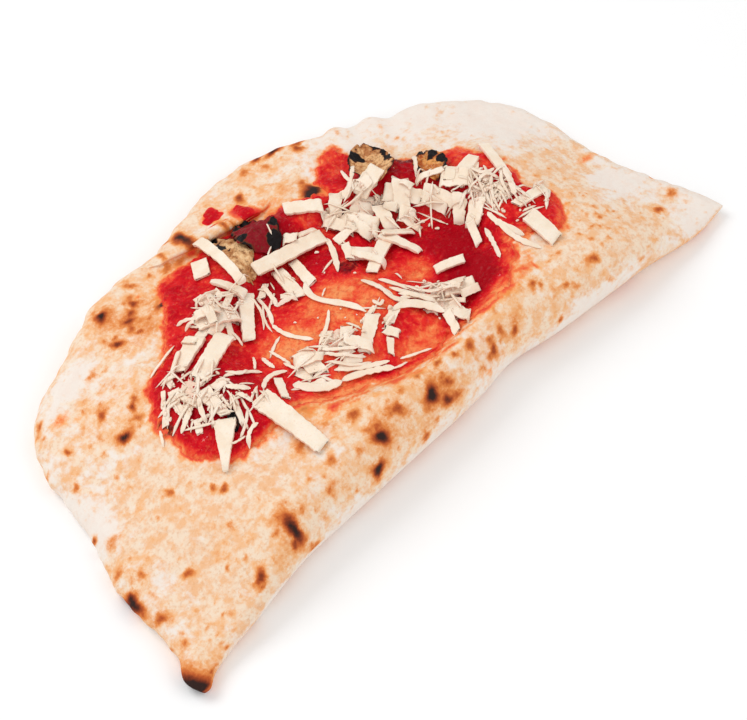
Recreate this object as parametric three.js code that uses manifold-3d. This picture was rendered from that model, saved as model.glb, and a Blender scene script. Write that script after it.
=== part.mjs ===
// Calzone: a round of pizza dough folded in half over its filling, pressed shut along its curved edge and
// baked, with tomato sauce, charred basil and coarsely grated hard cheese on top.
//
// Millimetres, +Z up. The flat base lies on z = 0. While the pieces are laid out, x = 0, y = 0 is the middle
// of the straight fold, +X runs along the fold and +Y from the fold to the sealed edge. At the end the whole
// calzone is centred on the middle of the dough's bounding box.

import * as THREE from "three";
import * as BufferGeometryUtils from "three/addons/utils/BufferGeometryUtils.js";
import Module from "manifold-3d";

const wasm = await Module();
wasm.setup();

// ---- driving dimensions: the dough's outline, seen from above ----

const RIM_RADIUS = 149; // from the middle of the fold to the sealed edge
// Stretches of the sealed edge that were pulled further out: how far, and at which angle round the middle of
// the fold, with 0 at the right-hand tip and 180 at the left-hand one.
const RIM_SWELLS = [
  { out: 7.5, at: -2, spread: 12 },
  { out: 18, at: 36, spread: 11 },
  { out: 15, at: 50, spread: 11 },
  { out: -2.5, at: 55, spread: 2.2 },
  { out: 2.5, at: 58.5, spread: 1.8 },
  { out: 3.5, at: 64, spread: 1.6 },
  { out: 17, at: 79, spread: 22 },
  { out: 12.5, at: 112, spread: 9.5 },
  { out: 27, at: 133, spread: 15.5 },
  { out: 6, at: 161, spread: 10 },
  { out: 7.5, at: 178, spread: 4 },
];
const FOLD_BOW = 7.8; // how far the fold curves in between its tips
const FOLD_DENTS = [
  { deep: 2.6, at: 32, spread: 15 },
  { deep: 1.5, at: -136, spread: 14 },
  { deep: -2.6, at: -152, spread: 4 },
  { deep: -2.2, at: 137, spread: 17 },
];

// ---- driving dimensions: the dough's height ----

const ROLL_HEIGHT = 31.5; // top of the full, rounded fold
const LIP_THICK = 12; // the sealed edge where two layers are pressed together
const TIP_THICK = 6; // the two thin tips
const EDGE_Z = 5; // widest point of the sealed edge above the base
const FOLD_EDGE_Z = 12.5; // widest point of the fold above the base
const FOLD_ROUND = 18; // how far in the fold's rounding reaches
const LIP_ROUND = 6; // how far in the sealed edge's rounding reaches
const FOLD_UNDERCUT = 12; // how far the base lies in from the fold
const LIP_UNDERCUT = 5; // how far the base lies in from the sealed edge
const CRATER = { x: 8, y: 70, halfLength: 68, halfWidth: 47, deep: 9 };
const MOUND = { x: -8, y: 64, halfLength: 36, halfWidth: 21, high: 6 };
const BASIN = { x: 40, y: 62, halfLength: 30, halfWidth: 36, deep: 2.8 }; // where the sauce pools
const FLAP = { x: -10, y: 144.6, halfLength: 30, halfWidth: 2.6, high: 3.0 }; // a torn fold behind the basil
const CAVITY = { x: -5, y: 136, halfLength: 24, halfWidth: 6.5, deep: 3.6 }; // the hollow in front of it
const FLAP_SLANT = 0.27; // how far the flap and its hollow run back towards -X, for each mm along X
// Bubbles in the dough: centre, radius and height.
const BUBBLES = [
  { x: -118, y: 50, radius: 24, high: 2.4 },
  { x: -100, y: 98, radius: 19, high: 2.0 },
  { x: -76, y: 136, radius: 15, high: 1.8 },
  { x: 112, y: 38, radius: 24, high: 2.2 },
  { x: 104, y: 86, radius: 20, high: 2.2 },
  { x: 52, y: 144, radius: 14, high: 1.6 },
  { x: -34, y: 22, radius: 20, high: 1.6 },
];

const LAY_GAP = 0.4; // clearance between a piece and what it lies on
const FEEL_MARGIN = 0.6; // how far past its own outline a strip feels for what lies under it

// ---- tomato sauce: its uneven outline, and how thick it lies ----

const SAUCE_CENTRE = { x: 20, y: 80 };
const SAUCE_OUTLINE = [
  [72, 41], [64, 45], [62, 38], [57, 32], [51, 29], [44, 26], [37, 25], [28, 27], [20, 30], [10, 29],
  [0, 29], [-10, 31], [-20, 35], [-30, 39], [-40, 42], [-53, 48], [-67, 47], [-82, 50], [-90, 56],
  [-94, 65], [-94, 75], [-92, 84], [-87, 95], [-79, 103], [-69, 107], [-60, 114], [-49, 127], [-42, 138],
  [-27, 138], [-12, 139], [0, 136], [7, 125], [13, 128], [19, 129], [25, 126], [31, 121], [37, 119],
  [42, 127], [47, 134], [53, 137], [59, 135], [59, 128], [63, 121], [70, 111], [77, 105], [84, 97],
  [91, 92], [94, 84], [95, 75], [95, 66], [93, 57], [98, 49], [97, 41], [92, 35], [83, 32],
];
const SAUCE_THICK = 1.9;
const SAUCE_EDGE_THICK = 1.0;
const POOL = { x: 48, y: 54, radius: 26, extra: 1.6 };

// ---- toppings, in the order in which they fell: place, heading in degrees from +X, and sizes ----

const BASIL = [
  { x: -13, y: 125, heading: 78, length: 34, width: 13, arch: 1.8 },
  { x: 1, y: 124, heading: 80, length: 26, width: 18, arch: 2.0 },
  { x: 59.5, y: 115, heading: 58, length: 27, width: 18, arch: -3.6 },
  { x: 75, y: 94, heading: 58, length: 20, width: 13, arch: -1.8 },
  { x: -74.5, y: 61, heading: 60, length: 10, width: 4, arch: 0.5 },
];
const HEAPS = [
  { x: -76, y: 84, halfLength: 14, halfWidth: 14, high: 3.6 },
  { x: -38, y: 106, halfLength: 14, halfWidth: 10, high: 3.2 },
  { x: -20, y: 60, halfLength: 20, halfWidth: 9, high: 2.6 },
  { x: 26, y: 46, halfLength: 12, halfWidth: 13, high: 3.2 },
  { x: 41, y: 102, halfLength: 13, halfWidth: 12, high: 4.2 },
  { x: 77, y: 66, halfLength: 14, halfWidth: 15, high: 3.4 },
];
const SHAVINGS = [
  { x: -84, y: 56, heading: 225, length: 18, width: 9, taper: 0.75, thick: 2.0 },
  { x: -60.5, y: 44, heading: 272, length: 31, width: 9.5, taper: 0.25, thick: 2.1 },
  { x: -74.5, y: 71.5, heading: 82, length: 15, width: 6.5, taper: -0.4, thick: 1.6 },
  { x: -58, y: 89, heading: 22, length: 25, width: 7.5, taper: 0, thick: 2.0 },
  { x: -63, y: 98, heading: 23, length: 18, width: 8, taper: -0.3, thick: 2.0 },
  { x: -42, y: 103, heading: 335, length: 17, width: 8, taper: 0.2, thick: 2.0 },
  { x: -31, y: 97, heading: 48, length: 24, width: 6.5, taper: -0.2, thick: 1.9 },
  { x: -27, y: 112, heading: 288, length: 15, width: 5.5, taper: -0.5, thick: 1.8 },
  { x: -26, y: 129, heading: 55, length: 9.5, width: 7, taper: 0, thick: 1.6 },
  { x: -18.5, y: 126, heading: 79, length: 34, width: 5, taper: -0.2, thick: 1.8 },
  { x: -7.5, y: 97, heading: 75, length: 18, width: 6, taper: 0.1, thick: 1.7 },
  { x: 0.5, y: 97, heading: 74, length: 16, width: 5, taper: 0.2, thick: 1.6 },
  { x: 3.5, y: 107, heading: 349, length: 33, width: 6.2, taper: 0, thick: 2.5 },
  { x: 23, y: 118, heading: 320, length: 15, width: 6, taper: 0, thick: 2.0 },
  { x: 23.5, y: 85, heading: 320, length: 12, width: 7.5, taper: 0.2, thick: 1.8 },
  { x: 27, y: 79, heading: 26, length: 19, width: 6, taper: -0.2, thick: 1.9 },
  { x: 38, y: 78, heading: 282, length: 19, width: 5.5, taper: 0.4, thick: 1.8 },
  { x: 36, y: 98, heading: 300, length: 14, width: 8, taper: 0, thick: 2.0 },
  { x: 50, y: 106, heading: 8, length: 12, width: 7, taper: 0, thick: 2.0 },
  { x: 57, y: 93, heading: 305, length: 15, width: 8, taper: 0.2, thick: 2.0 },
  { x: 66, y: 78, heading: 284, length: 19, width: 7, taper: 0.2, thick: 2.0 },
  { x: 80.5, y: 80, heading: 14, length: 17, width: 8.5, taper: 0.4, thick: 1.9 },
  { x: 94, y: 75, heading: 66, length: 24, width: 4.5, taper: 0, thick: 1.7 },
  { x: 88, y: 50, heading: 354, length: 17, width: 4.6, taper: 0, thick: 1.7 },
  { x: 78.5, y: 36, heading: 268, length: 15, width: 8, taper: 0.1, thick: 1.8 },
  { x: 36, y: 43, heading: 330, length: 12, width: 7, taper: -0.3, thick: 1.8 },
  { x: 43, y: 54.5, heading: 335, length: 12, width: 4.2, taper: 0, thick: 1.6 },
];

// ---- fineness of the faceted surfaces ----

const CRUST_COLUMNS = 46;
const CRUST_ROWS = 26;
const SIDE_RINGS = 4;
const EDGE_CROWDING = 0.72; // how much the grid's lines crowd towards the dough's edges
const SAUCE_SPOKES = 64;
const SAUCE_RINGS = 11;
const HEAP_SPOKES = 16;
const HEAP_RINGS = 3;
const SAMPLE_STEP = 1.0; // between the points at which a piece feels for what lies under it

const RAD = Math.PI / 180;
const gauss = (t) => Math.exp(-t * t);
const clamp01 = (t) => Math.min(Math.max(t, 0), 1);
const smooth = (t) => clamp01(t) ** 2 * (3 - 2 * clamp01(t));
const quarterRound = (t) => Math.sqrt(1 - (1 - clamp01(t)) ** 2);

// ---- the form of the dough ----

// Distance from the middle of the fold to the sealed edge at an angle in degrees.
function rimRadius(angle) {
  return RIM_SWELLS.reduce((r, s) => r + s.out * gauss((angle - s.at) / s.spread), RIM_RADIUS);
}

// The y of the fold's widest point at x: a shallow bow with a few dents.
function foldLine(x) {
  const bow = FOLD_BOW * smooth((x + 156) / 75) * smooth((132 - x) / 115);
  return FOLD_DENTS.reduce((y, d) => y + d.deep * gauss((x - d.at) / d.spread), bow);
}

// Fullness of the dough along the fold: 0 at the thin tips, 1 in the middle.
const fullness = (x, reach, span) => smooth((reach - Math.abs(x)) / span);

// A point of the half-moon. u runs from the left tip (-1) to the right one (1), v from the fold (0) to the
// sealed edge (1), and inset (0 to 1) draws the outline in to that of the base.
function planPoint(u, v, inset) {
  const across = u * Math.sqrt(1 - (v * v) / 2);
  const along = v * Math.sqrt(1 - (u * u) / 2);
  const angle = Math.atan2(along, across);
  const radius = (rimRadius(angle / RAD) - LIP_UNDERCUT * inset) * Math.hypot(across, along);
  const x = radius * Math.cos(angle);
  const undercut = 3 + (FOLD_UNDERCUT - 3) * fullness(x, 152, 60);
  return { x, y: radius * Math.sin(angle) + (foldLine(x) + undercut * inset) * (1 - v) };
}

// Distances of a point from the sealed edge and from the fold, and its angle.
function edgeDistances(x, y) {
  const angle = Math.atan2(Math.max(y, 0), x) / RAD;
  const rim = Math.max(rimRadius(angle) - Math.hypot(x, Math.max(y, 0)), 0);
  return { angle, rim, fold: Math.max(y - foldLine(x), 0) };
}

// Height of the widest line round the dough's side.
function sideHeight(x, rim, fold) {
  const foldShare = (rim + 1e-9) / (rim + fold + 1e-9);
  const foldZ = EDGE_Z + (FOLD_EDGE_Z - EDGE_Z) * fullness(x, 152, 60);
  return EDGE_Z + (foldZ - EDGE_Z) * foldShare * foldShare;
}

// Height of the dough's upper surface: full along the fold, sloping to the sealed edge, sunk to a crater with
// a mound in it, and rounded down to the side at every edge.
function topHeight(x, y) {
  const { angle, rim, fold } = edgeDistances(x, y);
  const full = fullness(x, 172, 92);
  const lip = TIP_THICK + (LIP_THICK - TIP_THICK) * full;
  const rise = 1 - Math.exp(-((rim / 42) ** 1.4));
  let height = lip + (ROLL_HEIGHT - lip) * full * rise - 3 * smooth((y - 60) / 60) * smooth(rim / 30);
  height += 1.5 * gauss((rim - 9) / 6) * smooth((angle - 85) / 20);
  const crater = Math.hypot((x - CRATER.x) / CRATER.halfLength, (y - CRATER.y) / CRATER.halfWidth);
  height -= CRATER.deep * smooth((1.06 - crater) / 0.3);
  const mound = Math.hypot((x - MOUND.x) / MOUND.halfLength, (y - MOUND.y) / MOUND.halfWidth);
  height += MOUND.high * gauss(mound ** 1.3);
  const basin = Math.hypot((x - BASIN.x) / BASIN.halfLength, (y - BASIN.y) / BASIN.halfWidth);
  height -= BASIN.deep * smooth((1 - basin) / 0.26);
  const crest = y - FLAP.y + FLAP_SLANT * (x - FLAP.x);
  height += FLAP.high * gauss(Math.hypot(((x - FLAP.x) / FLAP.halfLength) ** 2, crest / FLAP.halfWidth));
  const hollow = y - CAVITY.y + FLAP_SLANT * (x - CAVITY.x);
  height -= CAVITY.deep * gauss(Math.hypot((x - CAVITY.x) / CAVITY.halfLength, hollow / CAVITY.halfWidth));
  for (const b of BUBBLES) {
    height += b.high * gauss(Math.hypot(x - b.x, y - b.y) / b.radius);
  }
  const side = sideHeight(x, rim, fold);
  return side + quarterRound(rim / LIP_ROUND) * quarterRound(fold / FOLD_ROUND) * (height - side);
}

// ---- closed meshes ----

// Collects points and triangles, and turns them into a geometry.
class MeshBuilder {
  constructor() {
    this.points = [];
    this.triangles = [];
  }

  add(x, y, z) {
    this.points.push(x, y, z);
    return this.points.length / 3 - 1;
  }

  // Two triangles for a quad whose corners run anticlockwise, seen from outside.
  quad(a, b, c, d) {
    this.triangles.push(a, b, c, a, c, d);
  }

  // A band between two closed loops; the second loop lies outward or below the first.
  band(loop, next) {
    loop.forEach((a, i) => {
      const j = (i + 1) % loop.length;
      this.quad(a, next[i], next[j], loop[j]);
    });
  }

  geometry() {
    const geometry = new THREE.BufferGeometry();
    geometry.setAttribute("position", new THREE.Float32BufferAttribute(this.points, 3));
    geometry.setIndex(this.triangles);
    geometry.computeVertexNormals();
    return geometry;
  }
}

// A closed sheet of columns by rows cells, such as a shaving: under(s, t) and over(s, t) give its two faces
// as [x, y, z], with s and t from 0 to 1.
function sheetGeometry(columns, rows, under, over) {
  const builder = new MeshBuilder();
  const face = (surface) =>
    Array.from({ length: columns + 1 }, (_, i) =>
      Array.from({ length: rows + 1 }, (__, j) => builder.add(...surface(i / columns, j / rows))));
  const low = face(under);
  const high = face(over);
  for (let i = 0; i < columns; i += 1) {
    for (let j = 0; j < rows; j += 1) {
      builder.quad(high[i][j], high[i + 1][j], high[i + 1][j + 1], high[i][j + 1]);
      builder.quad(low[i][j], low[i][j + 1], low[i + 1][j + 1], low[i + 1][j]);
    }
  }
  const loop = (grid) => [
    ...grid.slice(0, columns).map((column) => column[0]),
    ...grid[columns].slice(0, rows),
    ...grid.slice(1).reverse().map((column) => column[rows]),
    ...grid[0].slice(1).reverse(),
  ];
  builder.band(loop(high), loop(low));
  return builder.geometry();
}

// A closed round cap of rings and spokes, such as a heap: under(r, a) and over(r, a) give its two faces, with
// r from 0 at the middle to 1 at the outline, and a from 0 to 1 round it, anticlockwise.
function capGeometry(rings, spokes, under, over) {
  const builder = new MeshBuilder();
  const face = (surface, facesUp) => {
    const centre = builder.add(...surface(0, 0));
    let inner = null;
    for (let k = 1; k <= rings; k += 1) {
      const ring = Array.from({ length: spokes }, (_, i) => builder.add(...surface(k / rings, i / spokes)));
      ring.forEach((a, i) => {
        const b = ring[(i + 1) % spokes];
        if (inner === null) {
          builder.triangles.push(centre, facesUp ? a : b, facesUp ? b : a);
        } else if (facesUp) {
          builder.quad(inner[i], a, b, inner[(i + 1) % spokes]);
        } else {
          builder.quad(inner[i], inner[(i + 1) % spokes], b, a);
        }
      });
      inner = ring;
    }
    return inner;
  };
  const low = face(under, false);
  const high = face(over, true);
  builder.band(high, low);
  return builder.geometry();
}

// ---- cutting one closed mesh by another ----

function toSolid(geometry) {
  const bare = new THREE.BufferGeometry();
  bare.setAttribute("position", geometry.getAttribute("position"));
  bare.setIndex(geometry.getIndex());
  const merged = BufferGeometryUtils.mergeVertices(bare);
  const vertProperties = new Float32Array(merged.getAttribute("position").array);
  const triVerts = new Uint32Array(merged.getIndex().array);
  return new wasm.Manifold(new wasm.Mesh({ numProp: 3, vertProperties, triVerts }));
}

function fromSolid(solid) {
  const mesh = solid.getMesh();
  const geometry = new THREE.BufferGeometry();
  geometry.setAttribute("position", new THREE.BufferAttribute(mesh.vertProperties, 3));
  geometry.setIndex(new THREE.BufferAttribute(mesh.triVerts, 1));
  geometry.computeVertexNormals();
  return geometry;
}

// ---- laying one piece on another ----

const calzone = new THREE.Group();
const laid = []; // the meshes that a new piece can come to rest on
const feeler = new THREE.Raycaster();
const FEELER_START = 200;
const DOWN = new THREE.Vector3(0, 0, -1);

// Height of the highest laid piece at a point.
function heightBelow(x, y) {
  feeler.set(new THREE.Vector3(x, y, FEELER_START), DOWN);
  const hits = feeler.intersectObjects(laid, false);
  return hits.length > 0 ? hits[0].point.z : 0;
}

// Height of the highest laid piece within reach of a point.
function heightAround(x, y, reach) {
  const directions = 8;
  let highest = heightBelow(x, y);
  for (let k = 0; k < directions; k += 1) {
    const turn = (k / directions) * 2 * Math.PI;
    for (const r of [reach / 2, reach]) {
      highest = Math.max(highest, heightBelow(x + r * Math.cos(turn), y + r * Math.sin(turn)));
    }
  }
  return highest;
}

function addPiece(name, geometry, colour, roughness) {
  const material = new THREE.MeshStandardMaterial({ color: colour, roughness, metalness: 0 });
  const mesh = new THREE.Mesh(geometry, material);
  mesh.name = name;
  calzone.add(mesh);
  laid.push(mesh);
  return mesh;
}

// The tight line over a row of heights: the upper side of their convex hull, as a function of s from 0 to 1.
function tightLine(heights) {
  const last = heights.length - 1;
  const hull = [];
  heights.forEach((z, i) => {
    while (hull.length > 1) {
      const [a, b] = hull.slice(-2);
      if ((b.z - a.z) * (i - a.i) > (z - a.z) * (b.i - a.i)) {
        break;
      }
      hull.pop();
    }
    hull.push({ i, z });
  });
  return (s) => {
    const at = s * last;
    const k = Math.max(hull.findIndex((p) => p.i >= at), 1);
    const [a, b] = [hull[k - 1], hull[k]];
    return a.z + ((b.z - a.z) * (at - a.i)) / (b.i - a.i);
  };
}

// How a stiff strip comes to rest: its sideways tilt, and the height of its underside along its length.
function restStrip({ x, y, heading, length, width }) {
  const along = new THREE.Vector2(Math.cos(heading * RAD), Math.sin(heading * RAD));
  const feel = (s, t) => {
    const a = (s - 0.5) * (length + 2 * FEEL_MARGIN);
    const b = (t - 0.5) * (width + 2 * FEEL_MARGIN);
    return heightBelow(x + along.x * a - along.y * b, y + along.y * a + along.x * b);
  };
  const lengthSteps = Math.ceil(length / SAMPLE_STEP);
  const widthSteps = Math.ceil(width / SAMPLE_STEP);
  const rows = Array.from({ length: lengthSteps + 1 }, (_, i) =>
    Array.from({ length: widthSteps + 1 }, (__, j) => feel(i / lengthSteps, j / widthSteps)));
  const leans = rows.map((row) => (row[widthSteps] - row[0]) / width);
  const tilt = leans.reduce((sum, lean) => sum + lean, 0) / leans.length;
  const clear = rows.map((row) => Math.max(...row.map((z, j) => z - tilt * width * (j / widthSteps - 0.5))));
  return { tilt, line: tightLine(clear) };
}

// How far the straight stretches between a strip's columns cut below its resting line.
function chordLoss(line, columns) {
  const finer = 10;
  const losses = Array.from({ length: columns * finer + 1 }, (_, k) => {
    const column = Math.min(Math.floor(k / finer), columns - 1);
    const share = k / finer - column;
    const chord = line(column / columns) * (1 - share) + line((column + 1) / columns) * share;
    return line(k / (columns * finer)) - chord;
  });
  return Math.max(...losses);
}

// Lays a strip whose half-width at s and whose faces' heights over the resting line are given.
function layStrip(name, piece, columns, rows, halfWidth, underside, thickness, colour, roughness) {
  const { tilt, line } = restStrip(piece);
  const clearance = LAY_GAP + chordLoss(line, columns);
  const point = (s, t, lift) => {
    const b = (2 * t - 1) * halfWidth(s);
    return [(s - 0.5) * piece.length, b, line(s) + tilt * b + clearance + lift];
  };
  const under = (s, t) => point(s, t, underside(s, t));
  const over = (s, t) => point(s, t, underside(s, t) + thickness(s, t));
  const mesh = addPiece(name, sheetGeometry(columns, rows, under, over), colour, roughness);
  mesh.position.set(piece.x, piece.y, 0);
  mesh.rotation.z = piece.heading * RAD;
  mesh.updateMatrixWorld(true);
}

// ---- the dough ----

const crowded = (t) => t + EDGE_CROWDING * (smooth(t) - t);

function crustGeometry() {
  const builder = new MeshBuilder();
  const uv = (i, j) => [2 * crowded(i / CRUST_COLUMNS) - 1, crowded(j / CRUST_ROWS)];
  const top = Array.from({ length: CRUST_COLUMNS + 1 }, (_, i) =>
    Array.from({ length: CRUST_ROWS + 1 }, (__, j) => {
      const { x, y } = planPoint(...uv(i, j), 0);
      return builder.add(x, y, topHeight(x, y));
    }));
  for (let i = 0; i < CRUST_COLUMNS; i += 1) {
    for (let j = 0; j < CRUST_ROWS; j += 1) {
      builder.quad(top[i][j], top[i + 1][j], top[i + 1][j + 1], top[i][j + 1]);
    }
  }
  const edge = [];
  for (let i = 0; i < CRUST_COLUMNS; i += 1) edge.push([i, 0]);
  for (let j = 0; j < CRUST_ROWS; j += 1) edge.push([CRUST_COLUMNS, j]);
  for (let i = CRUST_COLUMNS; i > 0; i -= 1) edge.push([i, CRUST_ROWS]);
  for (let j = CRUST_ROWS; j > 0; j -= 1) edge.push([0, j]);
  let loop = edge.map(([i, j]) => top[i][j]);
  let base = [];
  for (let k = 1; k <= SIDE_RINGS; k += 1) {
    const turn = (k / SIDE_RINGS) * 90 * RAD;
    base = edge.map(([i, j]) => {
      const { x, y } = planPoint(...uv(i, j), 1 - Math.cos(turn));
      const widest = planPoint(...uv(i, j), 0);
      const { rim, fold } = edgeDistances(widest.x, widest.y);
      const z = k === SIDE_RINGS ? 0 : sideHeight(widest.x, rim, fold) * (1 - Math.sin(turn));
      return { x, y, z };
    });
    const next = base.map((p) => builder.add(p.x, p.y, p.z));
    builder.band(loop, next);
    loop = next;
  }
  const outline = base.map((p) => new THREE.Vector2(p.x, p.y));
  for (const [a, b, c] of THREE.ShapeUtils.triangulateShape(outline, [])) {
    builder.triangles.push(loop[a], loop[c], loop[b]);
  }
  return builder.geometry();
}

const crust = addPiece("crust", crustGeometry(), 0xe9cda6, 0.75);

// ---- the sauce: a lumpy sheet, cut away where the dough comes up through its underside ----

function sauceGeometry() {
  const outline = new THREE.CatmullRomCurve3(
    SAUCE_OUTLINE.map(([x, y]) => new THREE.Vector3(x, y, 0)).reverse(), true, "centripetal");
  const place = (r, a) => {
    const rim = outline.getPoint(a);
    return [SAUCE_CENTRE.x + r * (rim.x - SAUCE_CENTRE.x), SAUCE_CENTRE.y + r * (rim.y - SAUCE_CENTRE.y)];
  };
  const over = (r, a) => {
    const [x, y] = place(r, a);
    const pool = POOL.extra * gauss(Math.hypot(x - POOL.x, y - POOL.y) / POOL.radius);
    const lumps = 0.25 * Math.sin(x / 5.3) * Math.sin(y / 4.1 + 1);
    const thick = SAUCE_EDGE_THICK + (SAUCE_THICK + lumps + pool - SAUCE_EDGE_THICK) * smooth((1 - r) * 6);
    return [x, y, heightBelow(x, y) + LAY_GAP + thick];
  };
  const under = (r, a) => [...place(r, a), EDGE_Z / 2];
  const slab = toSolid(capGeometry(SAUCE_RINGS, SAUCE_SPOKES, under, over));
  return fromSolid(slab.subtract(toSolid(crust.geometry).translate([0, 0, LAY_GAP])));
}

addPiece("tomato_sauce", sauceGeometry(), 0xb0121a, 0.3);

// ---- basil leaves: pointed, arched along the middle vein or cupped, dried and charred by the oven ----

BASIL.forEach((leaf, n) => {
  const halfWidth = (s) => leaf.width * (0.1 + 0.4 * Math.sin(Math.PI * s ** 0.85) ** 0.8);
  const cup = Math.max(-leaf.arch, 0);
  const arch = (s, t) => cup + leaf.arch * Math.sin(Math.PI * s) * (1 - (2 * t - 1) ** 2);
  layStrip(`basil_leaf_${n + 1}`, leaf, 8, 4, halfWidth, arch, () => 0.9, 0x4a3a22, 0.6);
});

// ---- heaps of fine gratings: each one solid out to its uneven outline ----

HEAPS.forEach((heap, n) => {
  const place = (r, a) => {
    const turn = 2 * Math.PI * a;
    const uneven = 1 + 0.13 * Math.sin(3 * turn + n) + 0.09 * Math.sin(5 * turn + 2 * n);
    return [
      heap.x + heap.halfLength * uneven * r * Math.cos(turn),
      heap.y + heap.halfWidth * uneven * r * Math.sin(turn),
    ];
  };
  const under = (r, a) => {
    const [x, y] = place(r, a);
    return [x, y, heightAround(x, y, heap.halfWidth / HEAP_RINGS) + LAY_GAP];
  };
  const over = (r, a) => {
    const [x, y, z] = under(r, a);
    const tufts = 0.8 * Math.sin(x / 1.9 + n) * Math.sin(y / 2.3);
    return [x, y, z + 0.9 + (heap.high + tufts - 0.9) * quarterRound(1 - r)];
  };
  addPiece(`grated_cheese_${n + 1}`, capGeometry(HEAP_RINGS, HEAP_SPOKES, under, over), 0xf1e4c8, 0.5);
});

// ---- large shavings: stiff slabs, some tapered, that bridge the hollows under them ----

SHAVINGS.forEach((shaving, n) => {
  const halfWidth = (s) => (shaving.width / 2) * (1 - Math.max(shaving.taper * s, -shaving.taper * (1 - s)));
  const name = `cheese_shaving_${String(n + 1).padStart(2, "0")}`;
  layStrip(name, shaving, 4, 2, halfWidth, () => 0, () => shaving.thick, 0xf3e7cd, 0.45);
});

// ---- centre the whole calzone on the dough ----

const box = new THREE.Box3().setFromObject(crust);
calzone.position.set(-(box.min.x + box.max.x) / 2, -(box.min.y + box.max.y) / 2, 0);

export default calzone;
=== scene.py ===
"""A calzone on a pale table: a half-moon of folded, sealed and baked pizza dough under tomato sauce, charred
basil and coarsely grated hard cheese.

Shapes are worked out in millimetres in dough coordinates: x runs along the straight fold, y from the fold to
the sealed edge, and z up from the table. Oven.place() turns them into the frame's metres at the very end.
"""

import logging
import math
from dataclasses import dataclass, field, replace
from enum import Enum
from functools import cached_property
from typing import Any, Callable, ClassVar, Iterable, TypeVar, Union

import bpy
import numpy as np
from mathutils import Matrix, Vector


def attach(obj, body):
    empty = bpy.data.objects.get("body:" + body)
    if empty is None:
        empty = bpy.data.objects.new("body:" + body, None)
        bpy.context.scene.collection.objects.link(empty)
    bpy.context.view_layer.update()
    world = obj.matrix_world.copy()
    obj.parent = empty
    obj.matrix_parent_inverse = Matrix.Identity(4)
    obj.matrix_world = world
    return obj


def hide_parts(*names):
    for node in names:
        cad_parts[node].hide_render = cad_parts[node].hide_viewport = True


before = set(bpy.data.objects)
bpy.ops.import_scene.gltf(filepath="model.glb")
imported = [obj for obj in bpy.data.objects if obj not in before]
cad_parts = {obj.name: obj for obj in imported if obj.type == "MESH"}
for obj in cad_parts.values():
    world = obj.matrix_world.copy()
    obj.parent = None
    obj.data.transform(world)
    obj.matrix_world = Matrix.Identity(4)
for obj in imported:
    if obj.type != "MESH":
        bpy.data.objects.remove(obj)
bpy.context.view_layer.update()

Array = np.ndarray
Colour = tuple[float, float, float, float]
Kind = TypeVar("Kind")

MM = 0.001
TINY = 1e-9
ROOT = "root"
log = logging.getLogger("calzone")


# ---- small sums that every shape uses ----


def each(kind: type[Kind], *numbers: tuple[float, ...]) -> tuple[Kind, ...]:
    """A table: one thing of a kind for each row of numbers."""
    return tuple(kind(*row) for row in numbers)


def gauss(t: Array) -> Array:
    """A bell of height 1: e to the power of minus t squared."""
    return np.exp(-np.square(t))


def smooth(t: Array) -> Array:
    """An ease from 0 to 1: three t squared minus two t cubed, with t held between 0 and 1."""
    t = np.clip(t, 0.0, 1.0)
    return t * t * (3.0 - 2.0 * t)


def quarter_round(t: Array) -> Array:
    """The height of a quarter circle of radius 1 at a distance t in from its foot."""
    return np.sqrt(1.0 - np.square(1.0 - np.clip(t, 0.0, 1.0)))


def turns(count: int) -> Array:
    """Directions at equal steps round a full turn, in radians."""
    return 2 * np.pi * np.arange(count) / count


def unit(lines: Array) -> Array:
    """Rows of coordinates, each brought to length 1."""
    return lines / (np.linalg.norm(lines, axis=1, keepdims=True) + TINY)


def closed_curve(points: tuple[tuple[float, float], ...], count: int) -> Array:
    """A smooth closed line through a few points.

    Each stretch is the cubic that leaves and meets its end points parallel to the line between their
    neighbours, worked out for all stretches at once.

    Args:
        points: The corners that the line passes through, in order.
        count: How many points the line gets.

    Returns:
        A count by 2 array.
    """
    corners = np.array(points, float)
    at = np.arange(count) * len(corners) / count
    k = np.floor(at).astype(int)
    t = (at - k)[:, None]
    before, start, end, after = (corners[(k + step) % len(corners)] for step in (-1, 0, 1, 2))
    return 0.5 * (
        2 * start
        + (end - before) * t
        + (2 * before - 5 * start + 4 * end - after) * t**2
        + (3 * start - before - 3 * end + after) * t**3
    )


@dataclass(frozen=True)
class Ease:
    """An eased step from 0, up to its start, to 1 a span further on, or further back if the span is
    negative.
    """

    start: float
    span: float

    def __call__(self, t: Array) -> Array:
        """How far the step has risen at t."""
        return smooth((t - self.start) / self.span)


@dataclass(frozen=True)
class Swell:
    """A bell, such as a stretch of an edge that is pulled out: how far, where, and over what spread."""

    out: float
    at: float
    spread: float

    def __call__(self, t: Array) -> Array:
        """The bell's height at t."""
        return self.out * gauss((t - self.at) / self.spread)


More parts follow.
